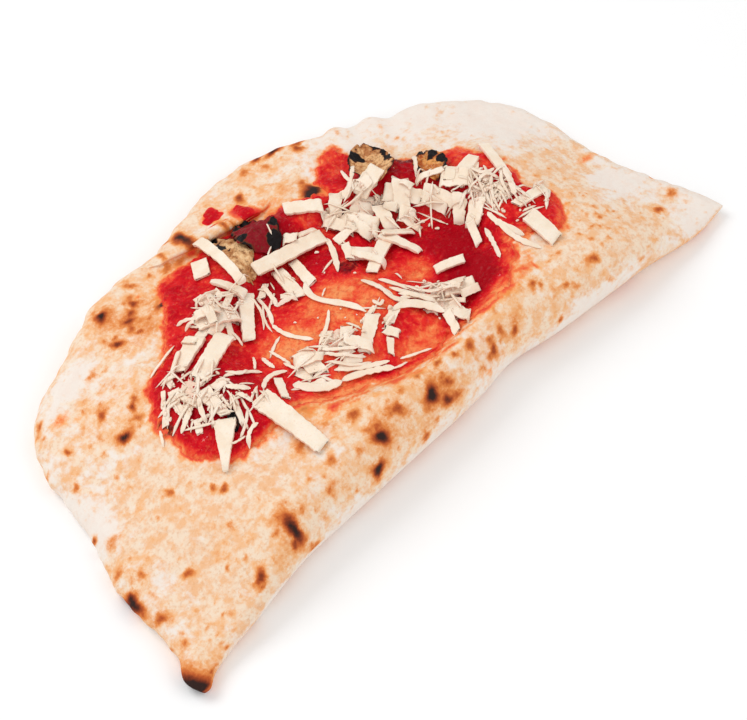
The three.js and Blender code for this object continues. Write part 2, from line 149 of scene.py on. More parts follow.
@dataclass(frozen=True)
class Ripple:
    """A random rolling field: gradient noise on a square lattice.

    Attributes:
        cell: Spacing of the lattice in mm, which is the size of the largest bumps.
        seed: Start of the random draws.
        octaves: How many layers are summed, each with half the cell and half the height of the last.
        high: About how far the first layer goes up and down.
    """

    cell: float
    seed: int
    octaves: int = 1
    high: float = 1.0

    LATTICE: ClassVar[int] = 256
    GAIN: ClassVar[float] = 1.6

    def __call__(self, x: Array, y: Array) -> Array:
        """The field's value at each point.

        Args:
            x: First coordinates in mm.
            y: Second coordinates in mm.

        Returns:
            The sum of the layers.
        """
        layers = range(self.octaves)
        return self.high * sum(self._layer(x, y, self.cell / 2**k, self.seed + k) / 2**k for k in layers)

    def reseeded(self, seed: int) -> "Ripple":
        """The same kind of field, with its draws started that much later."""
        return replace(self, seed=self.seed + seed)

    def _layer(self, x: Array, y: Array, cell: float, seed: int) -> Array:
        """One layer: each lattice corner has a random slope, and the four nearest are eased together.

        Args:
            x: First coordinates in mm.
            y: Second coordinates in mm.
            cell: Spacing of this layer's lattice in mm.
            seed: Start of its draws.

        Returns:
            The layer's value at each point, about plus or minus 1.
        """
        turn = np.random.default_rng(seed).uniform(0, 2 * np.pi, (self.LATTICE, self.LATTICE))
        gx, gy = np.asarray(x) / cell, np.asarray(y) / cell
        ix, iy = np.floor(gx).astype(int), np.floor(gy).astype(int)
        fx, fy = gx - ix, gy - iy

        def slope(dx: int, dy: int) -> Array:
            """Height that one corner's slope gives at the point."""
            angle = turn[(ix + dx) % self.LATTICE, (iy + dy) % self.LATTICE]
            return np.cos(angle) * (fx - dx) + np.sin(angle) * (fy - dy)

        wx, wy = smooth(fx), smooth(fy)
        near = slope(0, 0) * (1 - wx) + slope(1, 0) * wx
        far = slope(0, 1) * (1 - wx) + slope(1, 1) * wx
        return self.GAIN * (near * (1 - wy) + far * wy)


class Raster:
    """A field held on a square grid over the whole calzone, in dough coordinates."""

    FINE: ClassVar[float] = 0.4
    LOW: ClassVar[tuple[float, float]] = (-172.0, -36.0)
    SPAN: ClassVar[tuple[float, float]] = (344.0, 224.0)
    RIM: ClassVar[float] = 1.001

    def __init__(self, coarse: int = 1) -> None:
        """Starts a field of zeros.

        Args:
            coarse: Size of its cells as a multiple of the finest ones.
        """
        self.step = self.FINE * coarse
        self.cells = tuple(int(span / self.step) for span in self.SPAN)
        self.values = np.zeros(self.cells)

    def centres(self) -> tuple[Array, Array]:
        """The x and y of every grid point."""
        axes = (low + self.step * np.arange(n) for low, n in zip(self.LOW, self.cells))
        return tuple(np.meshgrid(*axes, indexing="ij"))

    def _index(self, x: Array, y: Array) -> tuple[Array, Array]:
        """Where points lie on the grid, in cells, held inside it."""
        places = ((np.asarray(p) - low) / self.step for p, low in zip((x, y), self.LOW))
        return tuple(np.clip(p, 0, n - self.RIM) for p, n in zip(places, self.cells))

    def sample(self, x: Array, y: Array) -> Array:
        """The field between its grid points, as the weighted mean of the four nearest.

        Args:
            x: Dough x of the points in mm.
            y: Dough y of the points in mm.

        Returns:
            The field at each point.
        """
        gx, gy = self._index(x, y)
        ix, iy = gx.astype(int), gy.astype(int)
        fx, fy = gx - ix, gy - iy
        near = self.values[ix, iy] * (1 - fx) + self.values[ix + 1, iy] * fx
        far = self.values[ix, iy + 1] * (1 - fx) + self.values[ix + 1, iy + 1] * fx
        return near * (1 - fy) + far * fy

    def raise_to(self, x: Array, y: Array, height: Array) -> None:
        """Lifts the field to at least a height at each of many points.

        Args:
            x: Dough x of the points in mm.
            y: Dough y of the points in mm.
            height: The least height at each, or one for all.
        """
        gx, gy = self._index(x, y)
        cells = (np.rint(gx).astype(int), np.rint(gy).astype(int))
        np.maximum.at(self.values, cells, np.broadcast_to(height, gx.shape))

    def stamp(
        self, x: float, y: float, reach: float, shape: Callable[[Array, Array], Array], adds: bool
    ) -> None:
        """Works one small mark into the field.

        Args:
            x: Dough x of the mark's middle.
            y: Dough y of the mark's middle.
            reach: Half the side of the square that the mark can touch, in mm.
            shape: Function of distances dx and dy from the middle that gives the mark's height.
            adds: True to add the mark, False to keep the larger of the field and the mark.
        """
        cells = [int(round((p - low) / self.step)) for p, low in zip((x, y), self.LOW)]
        span = int(reach / self.step) + 1
        window = tuple(slice(max(c - span, 0), min(c + span + 1, n)) for c, n in zip(cells, self.cells))
        dx = self.LOW[0] + self.step * np.arange(window[0].start, window[0].stop)[:, None] - x
        dy = self.LOW[1] + self.step * np.arange(window[1].start, window[1].stop)[None, :] - y
        mark = shape(dx, dy)
        here = self.values[window]
        self.values[window] = here + mark if adds else np.maximum(here, mark)


# ---- surfaces and meshes ----


@dataclass
class Patch:
    """A closed surface: its points, its faces, and numbers that its material reads at each point."""

    points: Array
    quads: Array
    tris: Array = field(default_factory=lambda: np.zeros((0, 3), int))
    marks: dict[str, Array] = field(default_factory=dict)

    @staticmethod
    def joined(patches: Iterable["Patch"]) -> "Patch":
        """Several patches as one, with their faces renumbered.

        Args:
            patches: Patches that all carry the same marks.

        Returns:
            The joined patch.
        """
        parts = list(patches)
        starts = np.cumsum([0] + [len(p.points) for p in parts[:-1]])
        return Patch(
            np.concatenate([p.points for p in parts]),
            np.concatenate([p.quads + s for p, s in zip(parts, starts)]),
            np.concatenate([p.tris + s for p, s in zip(parts, starts)]),
            {name: np.concatenate([p.marks[name] for p in parts]) for name in parts[0].marks},
        )


def grid_quads(index: Array) -> Array:
    """The four-cornered faces of a grid of point numbers, facing up where rows run anticlockwise."""
    corners = (index[:-1, :-1], index[1:, :-1], index[1:, 1:], index[:-1, 1:])
    return np.stack([c.ravel() for c in corners], -1)


def band_quads(loop: Array, following: Array) -> Array:
    """The band of faces between a closed anticlockwise loop and the one outside or below it."""
    corners = (loop, following, np.roll(following, -1), np.roll(loop, -1))
    return np.stack(corners, -1)


def fan_tris(loop: Array, pole: int) -> Array:
    """The fan of faces from a closed anticlockwise loop in to a point above its middle."""
    return np.stack([loop, np.roll(loop, -1), np.full(len(loop), pole)], -1)


def cap_faces(rings: int, spokes: int, under_rings: int) -> tuple[Array, Array]:
    """Faces of a closed cap, made of an upper disc and an under disc that meet at their rims.

    Args:
        rings: Rings of the upper disc, numbered outward and followed by its middle point.
        spokes: Points in each ring.
        under_rings: Rings of the under disc, numbered likewise after the upper one.

    Returns:
        The four-cornered and the three-cornered faces.
    """
    top = np.arange(rings * spokes).reshape(rings, spokes)
    low = rings * spokes + 1 + np.arange(under_rings * spokes).reshape(under_rings, spokes)
    quads = [band_quads(top[k], top[k + 1]) for k in range(rings - 1)]
    quads += [band_quads(low[k], low[k + 1])[:, ::-1] for k in range(under_rings - 1)]
    quads.append(band_quads(top[-1], low[-1]))
    tris = [fan_tris(top[0], rings * spokes), fan_tris(low[0], int(low[-1, -1]) + 1)[:, ::-1]]
    return np.concatenate(quads), np.concatenate(tris)


def disc(middle: tuple[float, float], rim: Array, shares: Array) -> Array:
    """Points of a flat disc: its rim, drawn in to its middle by each share in turn, then the middle."""
    return np.append((shares[:, None, None] * rim).reshape(-1, 2) + middle, [middle], 0)


def box_edge(index: Array) -> Array:
    """The closed anticlockwise loop of point numbers round a grid."""
    return np.concatenate([index[:-1, 0], index[-1, :-1], index[:0:-1, -1], index[0, :0:-1]])


def round_section(corners: int, squareness: float) -> Array:
    """The outline of a bar from corner to corner, one unit in half-width and half-height.

    Each point is at an even angle, and its cosine and sine are raised to one over the squareness, so that 1
    gives an ellipse and larger values give a box with eased edges.

    Args:
        corners: How many points the outline has.
        squareness: How boxy it is.

    Returns:
        A corners by 2 array, anticlockwise.
    """
    turn = 2 * np.pi * (np.arange(corners) + 0.5) / corners
    cosine, sine = np.cos(turn), np.sin(turn)
    power = 1 / squareness
    outline = np.stack([np.sign(cosine) * np.abs(cosine) ** power, np.sign(sine) * np.abs(sine) ** power], -1)
    return outline / np.abs(outline).max(0)


def swept_bar(
    path: Array,
    across: Array,
    half_width: Array,
    half_thick: Array,
    section: Array,
    slip: Union[Array, float],
) -> Patch:
    """A closed bar: a section carried along a path, with a blunt point at each end.

    Each ring is the path's point plus the section's width along the sideways direction and its height along
    the upward one, which is square to both the path and the sideways direction.

    Args:
        path: Middle line, n by 3.
        across: Sideways unit directions, n by 3.
        half_width: Half the bar's width at each of the n stations.
        half_thick: Half the bar's thickness at each of the n stations.
        section: Outline of the section, m by 2.
        slip: How far each point is moved along the path, n by m, which slants and breaks the ends.

    Returns:
        The bar, with n times m points and 2 end points.
    """
    along = unit(np.gradient(path, axis=0))
    up = unit(np.cross(along, across))
    width = half_width[:, None, None] * section[None, :, :1] * across[:, None, :]
    thick = half_thick[:, None, None] * section[None, :, 1:] * up[:, None, :]
    rings = path[:, None, :] + width + thick + np.atleast_2d(slip)[..., None] * along[:, None, :]
    stations, corners = len(path), len(section)
    index = np.arange(stations * corners).reshape(stations, corners)
    wrapped = np.concatenate([index, index[:, :1]], 1)
    start, end = stations * corners, stations * corners + 1
    points = np.concatenate([rings.reshape(-1, 3), rings[:1].mean(1), rings[-1:].mean(1)])
    tris = np.concatenate([fan_tris(index[0], start)[:, ::-1], fan_tris(index[-1], end)])
    return Patch(points, grid_quads(wrapped), tris)


# ---- the form of the dough ----


@dataclass(frozen=True)
class Bubble:
    """A broad dome in the dough: its middle, radius and height in mm."""

    x: float
    y: float
    radius: float
    high: float


@dataclass(frozen=True)
class Oval:
    """An oval area of the dough: its middle and half-axes in mm."""

    x: float
    y: float
    half_length: float
    half_width: float

    def reach(self, x: Array, y: Array) -> Array:
        """Distance from the middle as a share of the oval's own size: 1 on its outline."""
        return np.hypot((x - self.x) / self.half_length, (y - self.y) / self.half_width)

    def discs(self, uneven: Array, rings: int) -> tuple[Array, Array, Array]:
        """Points of a disc that fills an uneven oval, ring by ring, and then its middle.

        Args:
            uneven: The outline's reach in evenly spaced directions, as a share of the oval's own.
            rings: How many rings it has.

        Returns:
            The x and y of its points in mm, and their shares of the way out.
        """
        turn = turns(len(uneven))
        rim = [self.half_length * uneven * np.cos(turn), self.half_width * uneven * np.sin(turn)]
        share = np.linspace(0, 1, rings + 1)[1:]
        x, y = disc((self.x, self.y), np.stack(rim, -1), share).T
        return x, y, np.append(np.repeat(share, len(turn)), 0.0)


@dataclass(frozen=True)
class Scorch(Oval):
    """A browned, stained or filled oval, and how much of it there is: 1 for the most, below 0 to thin it."""

    dark: float


@dataclass(frozen=True)
class DoughForm:
    """The calzone's outline and heights, all in mm."""

    rim_radius_mean: float = 149.0
    rim_swells: tuple[Swell, ...] = each(
        Swell, (7.5, -2, 12), (18, 36, 11), (15, 50, 11), (-2.5, 55, 2.2), (2.5, 58.5, 1.8), (3.5, 64, 1.6),
        (17, 79, 22), (12.5, 112, 9.5), (27, 133, 15.5), (6, 161, 10), (7.5, 178, 4),
    )
    fold_bow: float = 7.8
    bow_left: Ease = Ease(-156, 75)
    bow_right: Ease = Ease(132, -115)
    fold_dents: tuple[Swell, ...] = each(
        Swell, (2.6, 32, 15), (1.5, -136, 14), (-2.6, -152, 4), (-2.2, 137, 17),
    )
    roll_height: float = 31.5
    lip_thick: float = 12.0
    tip_thick: float = 6.0
    roll_full: Ease = Ease(172, -92)
    rise_span: float = 42.0
    rise_power: float = 1.4
    back_drop: float = 3.0
    back_slope: Ease = Ease(60, 60)
    back_rim: Ease = Ease(0, 30)
    bead: Swell = Swell(1.5, 9, 6)
    bead_turn: Ease = Ease(85, 20)
    edge_full: Ease = Ease(152, -60)
    edge_z: float = 5.0
    fold_edge_z: float = 12.5
    fold_round: float = 18.0
    lip_round: float = 6.0
    fold_undercut: float = 12.0
    tip_undercut: float = 3.0
    lip_undercut: float = 5.0
    crater: Oval = Oval(8, 70, 68, 47)
    crater_wall: Ease = Ease(1.06, -0.3)
    crater_deep: float = 9.0
    mound: Oval = Oval(-8, 64, 36, 21)
    mound_power: float = 1.3
    mound_high: float = 6.0
    pool: Oval = Oval(40, 62, 30, 36)
    pool_wall: Ease = Ease(1.0, -0.26)
    pool_deep: float = 2.8
    flap: Oval = Oval(-10, 144.6, 30, 2.6)
    flap_slant: float = 0.27
    flap_high: float = 3.0
    cavity: Oval = Oval(-5, 136, 24, 6.5)
    cavity_deep: float = 3.6
    bubbles: tuple[Bubble, ...] = each(
        Bubble, (-118, 50, 24, 2.4), (-100, 98, 19, 2.0), (-76, 136, 15, 1.8), (112, 38, 24, 2.2),
        (104, 86, 20, 2.2), (52, 144, 14, 1.6), (-34, 22, 20, 1.6),
    )

    def rim_radius(self, angle: Array) -> Array:
        """Distance from the middle of the fold to the sealed edge: a mean plus a bell for each swell."""
        return self.rim_radius_mean + sum(swell(angle) for swell in self.rim_swells)

    def fold_line(self, x: Array) -> Array:
        """The y of the fold's widest point: a shallow bow between the tips plus a bell for each dent."""
        bow = self.fold_bow * self.bow_left(x) * self.bow_right(x)
        return bow + sum(dent(x) for dent in self.fold_dents)

    def plan(self, u: Array, v: Array, inset: float = 0.0) -> tuple[Array, Array]:
        """A point of the half-moon, seen from above.

        A square is bent into a half-disc: u times the root of 1 minus half v squared lies along the fold, and
        v times the root of 1 minus half u squared away from it. That is then scaled to the rim's radius at
        its angle, and the fold's bow is added, fading towards the sealed edge.

        Args:
            u: From -1 at the left tip to 1 at the right one.
            v: From 0 at the fold to 1 at the sealed edge.
            inset: From 0 for the widest outline to 1 for that of the base.

        Returns:
            The x and y in mm.
        """
        across = u * np.sqrt(1 - v * v / 2)
        away = v * np.sqrt(1 - u * u / 2)
        angle = np.arctan2(away, across)
        radius = (self.rim_radius(np.degrees(angle)) - self.lip_undercut * inset) * np.hypot(across, away)
        x = radius * np.cos(angle)
        undercut = self.tip_undercut + (self.fold_undercut - self.tip_undercut) * self.edge_full(np.abs(x))
        return x, radius * np.sin(angle) + (self.fold_line(x) + undercut * inset) * (1 - v)

    def edge_distances(self, x: Array, y: Array) -> tuple[Array, Array, Array]:
        """How far points lie inside the outline.

        Args:
            x, y: Dough coordinates in mm.

        Returns:
            Distances in mm from the sealed edge and from the fold, and the angle round the middle of the fold
            in degrees.
        """
        angle = np.degrees(np.arctan2(np.maximum(y, 0), x))
        rim = np.maximum(self.rim_radius(angle) - np.hypot(x, np.maximum(y, 0)), 0)
        return rim, np.maximum(y - self.fold_line(x), 0), angle

    def side_height(self, x: Array, rim: Array, fold: Array) -> Array:
        """Height of the widest line round the side: the fold's, eased to the lower sealed edge's.

        Args:
            x: Dough x in mm.
            rim: Distance from the sealed edge in mm.
            fold: Distance from the fold in mm.

        Returns:
            Heights in mm.
        """
        share = (rim + TINY) / (rim + fold + 1000 * TINY)
        fold_z = self.edge_z + (self.fold_edge_z - self.edge_z) * self.edge_full(np.abs(x))
        return self.edge_z + (fold_z - self.edge_z) * share * share

    def top_height(self, x: Array, y: Array) -> Array:
        """Height of the smooth upper surface.

        The lip's thickness at the sealed edge rises to the roll's height by one minus e to the power of minus
        distance, the crater and mound are eased ovals, the flap and bubbles are bells, and quarter rounds
        bring all of it down to the side at every edge.

        Args:
            x, y: Dough coordinates in mm.

        Returns:
            Heights in mm.
        """
        rim, fold, angle = self.edge_distances(x, y)
        full = self.roll_full(np.abs(x))
        lip = self.tip_thick + (self.lip_thick - self.tip_thick) * full
        rise = 1 - np.exp(-((rim / self.rise_span) ** self.rise_power))
        height = lip + (self.roll_height - lip) * full * rise
        height -= self.back_drop * self.back_slope(y) * self.back_rim(rim)
        height += self.bead(rim) * self.bead_turn(angle)
        height -= self.crater_deep * self.crater_wall(self.crater.reach(x, y))
        height -= self.pool_deep * self.pool_wall(self.pool.reach(x, y))
        height += self.mound_high * gauss(self.mound.reach(x, y) ** self.mound_power)
        along, away = self.flap_place(x, y)
        height += self.flap_high * gauss(np.hypot(along**2, away / self.flap.half_width))
        height -= self.cavity_deep * gauss(self.cavity.reach(x, y + self.flap_slant * (x - self.cavity.x)))
        height += sum(b.high * gauss(np.hypot(x - b.x, y - b.y) / b.radius) for b in self.bubbles)
        side = self.side_height(x, rim, fold)
        rounding = quarter_round(rim / self.lip_round) * quarter_round(fold / self.fold_round)
        return side + rounding * (height - side)

    def flap_place(self, x: Array, y: Array) -> tuple[Array, Array]:
        """Share of the flap's half-length from its middle, and distance in mm behind its slanting crest."""
        along = x - self.flap.x
        return along / self.flap.half_length, y - self.flap.y + self.flap_slant * along

    def unrolled(self, x: Array, y: Array) -> Array:
        """The y along the skin: over the fold's round it grows as fast as the arc and not as its shadow.

        Args:
            x, y: Dough coordinates in mm.

        Returns:
            The y in mm that points would have if the fold's round were rolled out flat.
        """
        fold = np.clip(y - self.fold_line(x), 0, self.fold_round)
        arc = self.fold_round * np.arccos(1 - fold / self.fold_round)
        return y - fold + self.fold_round * (1 - np.pi / 2) + arc

    def middle(self, steps: int = 4001) -> tuple[float, float]:
        """Middle of the outline's bounding box, which is the frame's origin.

        Args:
            steps: Points that each side of the outline is felt at.

        Returns:
            The dough x and y in mm.
        """
        sweep = np.linspace(-1, 1, steps)
        sides = (self.plan(sweep, np.zeros_like(sweep)), self.plan(sweep, np.ones_like(sweep)))
        ends = (self.plan(np.full_like(sweep, s), (sweep + 1) / 2) for s in (-1, 1))
        x, y = np.concatenate([np.stack(part) for part in (*sides, *ends)], 1)
        return (x.min() + x.max()) / 2, (y.min() + y.max()) / 2


@dataclass(frozen=True)
class Shore:
    """The outline of the sauce, of which every part can be seen from one middle point."""

    middle: tuple[float, float] = (20.0, 80.0)
    corners: tuple[tuple[float, float], ...] = (
        (83, 32), (92, 35), (97, 41), (98, 49), (93, 57), (95, 66), (95, 75), (94, 84), (91, 92), (84, 97),
        (77, 105), (70, 111), (63, 121), (59, 128), (59, 135), (53, 137), (47, 134), (42, 127), (37, 119),
        (31, 121), (25, 126), (19, 129), (13, 128), (7, 125), (0, 136), (-12, 139), (-27, 138), (-42, 138),
        (-49, 127), (-60, 114), (-69, 107), (-79, 103), (-87, 95), (-92, 84), (-94, 75), (-94, 65), (-90, 56),
        (-82, 50), (-67, 47), (-53, 48), (-40, 42), (-30, 39), (-20, 35), (-10, 31), (0, 29), (10, 29),
        (20, 30), (28, 27), (37, 25), (44, 26), (51, 29), (57, 32), (62, 38), (64, 45), (72, 41),
    )
    samples: int = 400
    coarse: int = 5
    strays: tuple[Ripple, ...] = (Ripple(11, 43, 1, 2.2), Ripple(4.4, 44, 1, 1.7), Ripple(1.9, 45, 1, 0.8))

    @cached_property
    def _line(self) -> tuple[Array, Array]:
        """The outline's points from the middle.

        Returns:
            Their angles, in order, and their distances.
        """
        line = closed_curve(self.corners, self.samples) - np.array(self.middle)
        angle = np.arctan2(line[:, 1], line[:, 0])
        order = np.argsort(angle)
        return angle[order], np.hypot(*line.T)[order]

    @cached_property
    def _distance(self) -> Raster:
        """Distance to the nearest point of the outline.

        Returns:
            The distance in mm on a coarse grid, below 0 outside the outline.
        """
        field = Raster(self.coarse)
        x, y = (p - m for p, m in zip(field.centres(), self.middle))
        angle, reach = self._line
        nearest = np.hypot(x[..., None] - reach * np.cos(angle), y[..., None] - reach * np.sin(angle)).min(-1)
        inside = np.interp(np.arctan2(y, x), angle, reach, period=2 * np.pi) > np.hypot(x, y)
        field.values = np.where(inside, nearest, -nearest)
        return field

    def rim(self, turn: Array, margin: float) -> Array:
        """How far from the middle the outline, widened by a margin, reaches in each direction.

        Each of its points is the middle of a disc, and the farthest edge of all discs is taken.

        Args:
            turn: Directions in radians.
            margin: Radius of the discs in mm.

        Returns:
            Distances from the middle in mm.
        """
        angle, reach = self._line
        off = np.abs((turn[:, None] - angle + np.pi) % (2 * np.pi) - np.pi) * reach / margin
        return np.where(off < 1, reach + margin * np.sqrt(1 - np.minimum(off, 1) ** 2), 0).max(1)

    def inland(self, x: Array, y: Array) -> Array:
        """How far points lie inside the outline, below 0 outside it."""
        return self._distance.sample(x, y)

    def wander(self, x: Array, y: Array) -> Array:
        """How far the real edge strays from the outline: ripples of three sizes."""
        return sum(stray(x, y) for stray in self.strays)

    def edge(self, x: Array, y: Array) -> Array:
        """How far points lie inside the real edge, below 0 outside it."""
        return self.inland(x, y) + self.wander(x, y)


# ---- materials ----

Number = Union[float, "Wire"]


def shade(red: int, green: int, blue: int) -> Colour:
    """A colour given as it looks on a screen, from 0 to 255, as the linear light that a shader takes."""
    screen = np.array([red, green, blue]) / 255
    linear = np.where(screen <= 0.04045, screen / 12.92, ((screen + 0.055) / 1.055) ** 2.4)
    return (*map(float, linear), 1.0)


class Slot(Enum):
    """Names of the material slots."""

    DOUGH = "baked_dough"
    SAUCE = "sauce"
    CHEESE = "cheese"
    BASIL = "basil"


@dataclass(frozen=True)
class Wire:
    """An output socket that takes part in sums like a number: each operation adds a Math node."""

    recipe: "Recipe"
    socket: Any

    def _math(self, operation: str, *values: Number) -> "Wire":
        """The result of one Math node on some values, in order."""
        sockets = dict(enumerate(values))
        return self.recipe.make("ShaderNodeMath", {"operation": operation}, sockets)

    def __add__(self, other: Number) -> "Wire":
        """This plus other."""
        return self._math("ADD", self, other)

    __radd__ = __add__

    def __sub__(self, other: Number) -> "Wire":
        """This minus other."""
        return self._math("SUBTRACT", self, other)

    def __rsub__(self, other: Number) -> "Wire":
        """Other minus this."""
        return self._math("SUBTRACT", other, self)

    def __mul__(self, other: Number) -> "Wire":
        """This times other."""
        return self._math("MULTIPLY", self, other)

    __rmul__ = __mul__

    def eased(self, low: float, high: float) -> "Wire":
        """0 below low, 1 above high, and a smooth step between."""
        settings = {"interpolation_type": "SMOOTHSTEP"}
        return self.recipe.make("ShaderNodeMapRange", settings, {"Value": self, 1: low, 2: high})

    def held(self) -> "Wire":
        """This, held between 0 and 1."""
        return self.recipe.make("ShaderNodeClamp", {}, {"Value": self})


class Recipe:
    """The node tree of one material."""

    def __init__(self, name: str) -> None:
        """Starts a material whose tree holds only its output and its Principled shader."""
        self.material = bpy.data.materials.new(name)
        self.material.use_nodes = True
        self.tree = self.material.node_tree
        self.shader = self.tree.nodes["Principled BSDF"]

    def _feed(self, node: Any, sockets: dict[Any, Any]) -> None:
        """Gives a node's input sockets their values or links."""
        for key, value in sockets.items():
            if isinstance(value, Wire):
                self.tree.links.new(value.socket, node.inputs[key])
            else:
                node.inputs[key].default_value = value

    def make(self, kind: str, settings: dict[str, Any], sockets: dict[Any, Any], output: int = 0) -> Wire:
        """Adds one node.

        Args:
            kind: The node's type.
            settings: Its settings, set before its sockets. "stops" holds a ramp's positions and colours.
            sockets: Values or wires, by input name or number.
            output: Number of the output that is wanted.

        Returns:
            The wire from that output.
        """
        node = self.tree.nodes.new(kind)
        for name, value in settings.items():
            if name == "stops":
                self._set_stops(node.color_ramp, value)
            else:
                setattr(node, name, value)
        self._feed(node, sockets)
        return Wire(self, node.outputs[output])

    @staticmethod
    def _set_stops(ramp: Any, stops: list[tuple[float, Colour]]) -> None:
        """Gives a colour ramp its stops."""
        while len(ramp.elements) < len(stops):
            ramp.elements.new(1.0)
        for element, (position, colour) in zip(ramp.elements, stops):
            element.position = position
            element.color = colour

    def place(self) -> Wire:
        """Object coordinates, in metres."""
        return self.make("ShaderNodeTexCoord", {}, {}, output=3)

    def mark(self, name: str) -> Wire:
        """One of the numbers that the mesh carries at each point."""
        return self.make("ShaderNodeAttribute", {"attribute_name": name}, {}, output=2)

    def noise(self, size: float, detail: float = 3.0, rough: float = 0.55, twist: float = 0.0) -> Wire:
        """Soft noise from 0 to 1 whose largest blotches are about size millimetres across."""
        sockets = {"Vector": self.place(), "Scale": 1 / (size * MM), "Detail": detail}
        sockets |= {"Roughness": rough, "Distortion": twist}
        return self.make("ShaderNodeTexNoise", {}, sockets)

    def mix(self, share: Number, under: Any, over: Any) -> Wire:
        """One colour laid over another by a share from 0 to 1."""
        return self.make("ShaderNodeMix", {"data_type": "RGBA"}, {0: share, 6: under, 7: over}, output=2)

    def ramp(self, value: Wire, stops: list[tuple[float, Colour]]) -> Wire:
        """The colour that a row of stops has at a value from 0 to 1."""
        return self.make("ShaderNodeValToRGB", {"stops": stops}, {0: value})

    def bump(self, height: Wire, depth: float, strength: float) -> Wire:
        """A normal tipped by a height from 0 to 1 that is depth millimetres deep."""
        sockets = {"Height": height, "Distance": depth * MM, "Strength": strength}
        return self.make("ShaderNodeBump", {}, sockets)

    def finished(self, **sockets: Any) -> bpy.types.Material:
        """Feeds the shader, with underscores standing for the spaces in its sockets' names."""
        self._feed(self.shader, {name.replace("_", " "): value for name, value in sockets.items()})
        return self.material


@dataclass(frozen=True)
class BakedDough:
    """Pale baked dough, dusted with flour, browned in spots and stained by sauce.

    It reads three marks: toast (0 raw to 1 charred, and low on the fold's front side also painted shade), stain (0
    none to 1 soaked with sauce) and flour.
    """

    floury: Colour = shade(240, 231, 223)
    cream: Colour = shade(241, 218, 193)
    peach: Colour = shade(239, 187, 142)
    fleck: Colour = shade(216, 152, 100)
    browning: tuple[tuple[float, Colour], ...] = (
        (0.0, shade(248, 202, 150)),
        (0.20, shade(243, 178, 114)),
        (0.38, shade(227, 138, 70)),
        (0.56, shade(190, 90, 38)),
        (0.74, shade(136, 56, 24)),
        (0.90, shade(86, 34, 17)),
        (1.0, shade(46, 25, 20)),
    )
    soaking: tuple[tuple[float, Colour], ...] = (
        (0.0, shade(249, 192, 114)),
        (0.35, shade(246, 158, 82)),
        (0.62, shade(238, 98, 58)),
        (0.85, shade(222, 44, 32)),
        (1.0, shade(190, 12, 18)),
    )

    def material(self) -> bpy.types.Material:
        """Flour, cream and peach in patches, then toast and stain by their ramps, with pores as bump."""
        r = Recipe("baked_dough")
        fine = r.noise(1.5, 4.0, 0.65)
        blotch = r.noise(5.2, 5.0, 0.66)
        patch = r.noise(13.0, 5.0, 0.62, 0.4)
        grain = r.noise(3.4, 4.0, 0.6, 0.3)
        flour = (patch + grain * 0.8 + r.mark("flour") - 0.90).eased(0.34, 0.64)
        base = r.mix(blotch.eased(0.40, 0.62), self.cream, self.peach)
        base = r.mix(fine.eased(0.48, 0.72) * 0.46, base, self.fleck)
        base = r.mix(flour * 0.85, base, self.floury)
        toast = r.mark("toast") + (fine - 0.5) * 0.34 + (blotch + grain - 1.0) * 0.38 - flour * 0.12
        toast = toast.held()
        crust = r.ramp(toast, list(self.browning))
        colour = r.mix(toast.eased(0.03, 0.42), base, crust)
        stain = (r.mark("stain") + (fine - 0.5) * 0.45 + (blotch - 0.5) * 0.4).held()
        wetted = stain.eased(0.08, 0.55) * (1.0 - toast.eased(0.55, 0.85))
        colour = r.mix(wetted, colour, r.ramp(stain, list(self.soaking)))
        pores = r.noise(0.7, 2.0, 0.6) * 0.5 + fine
        normal = r.bump(pores, 0.30, 0.6)
        rough = 0.80 - stain * 0.34
        return r.finished(Base_Color=colour, Roughness=rough, Normal=normal, Specular_IOR_Level=0.25)


@dataclass(frozen=True)
class TomatoGloss:
    """Wet cooked tomato: deep red where it lies thick, orange where it is thin.

    It reads two marks: depth (0 bare to 1 deep) and burnt.
    """

    stops: tuple[tuple[float, Colour], ...] = (
        (0.0, shade(246, 152, 94)),
        (0.12, shade(243, 118, 70)),
        (0.27, shade(236, 76, 50)),
        (0.43, shade(224, 38, 38)),
        (0.60, shade(204, 12, 28)),
        (0.80, shade(184, 4, 24)),
        (1.0, shade(166, 2, 20)),
    )
    flesh: Colour = shade(250, 150, 92)
    juice: Colour = shade(196, 6, 18)
    burnt: Colour = shade(52, 6, 12)

    def material(self) -> bpy.types.Material:
        """Colour by depth, with pulp and paler flesh in it, burnt patches, and wet spots as a clear coat."""
        r = Recipe("tomato_sauce")
        pulp = r.noise(3.4, 4.0, 0.58, 1.2)
        broad = r.noise(9.0, 4.0, 0.6)
        seeds = r.noise(1.9, 3.0, 0.6)
        depth = (r.mark("depth") + (pulp - 0.5) * 0.62 + (broad - 0.5) * 0.75).held()
        colour = r.ramp(depth, list(self.stops))
        thin = (1.0 - depth).held()
        colour = r.mix(seeds.eased(0.54, 0.66) * thin * 0.4, colour, self.flesh)
        colour = r.mix(seeds.eased(0.48, 0.36) * thin * 0.35, colour, self.juice)
        burnt = (r.mark("burnt") + (pulp - 0.5) * 0.7).held()
        colour = r.mix(burnt.eased(0.30, 0.80), colour, self.burnt)
        normal = r.bump(pulp + seeds * 0.25, 0.9, 0.8)
        wet = r.noise(1.6, 2.0).eased(0.60, 0.68)
        return r.finished(
            Base_Color=colour,
            Roughness=0.30 + (broad - 0.5) * 0.3,
            Normal=normal,
            Coat_Weight=wet * 0.6,
            Coat_Roughness=0.12,
            Specular_IOR_Level=0.05,
        )


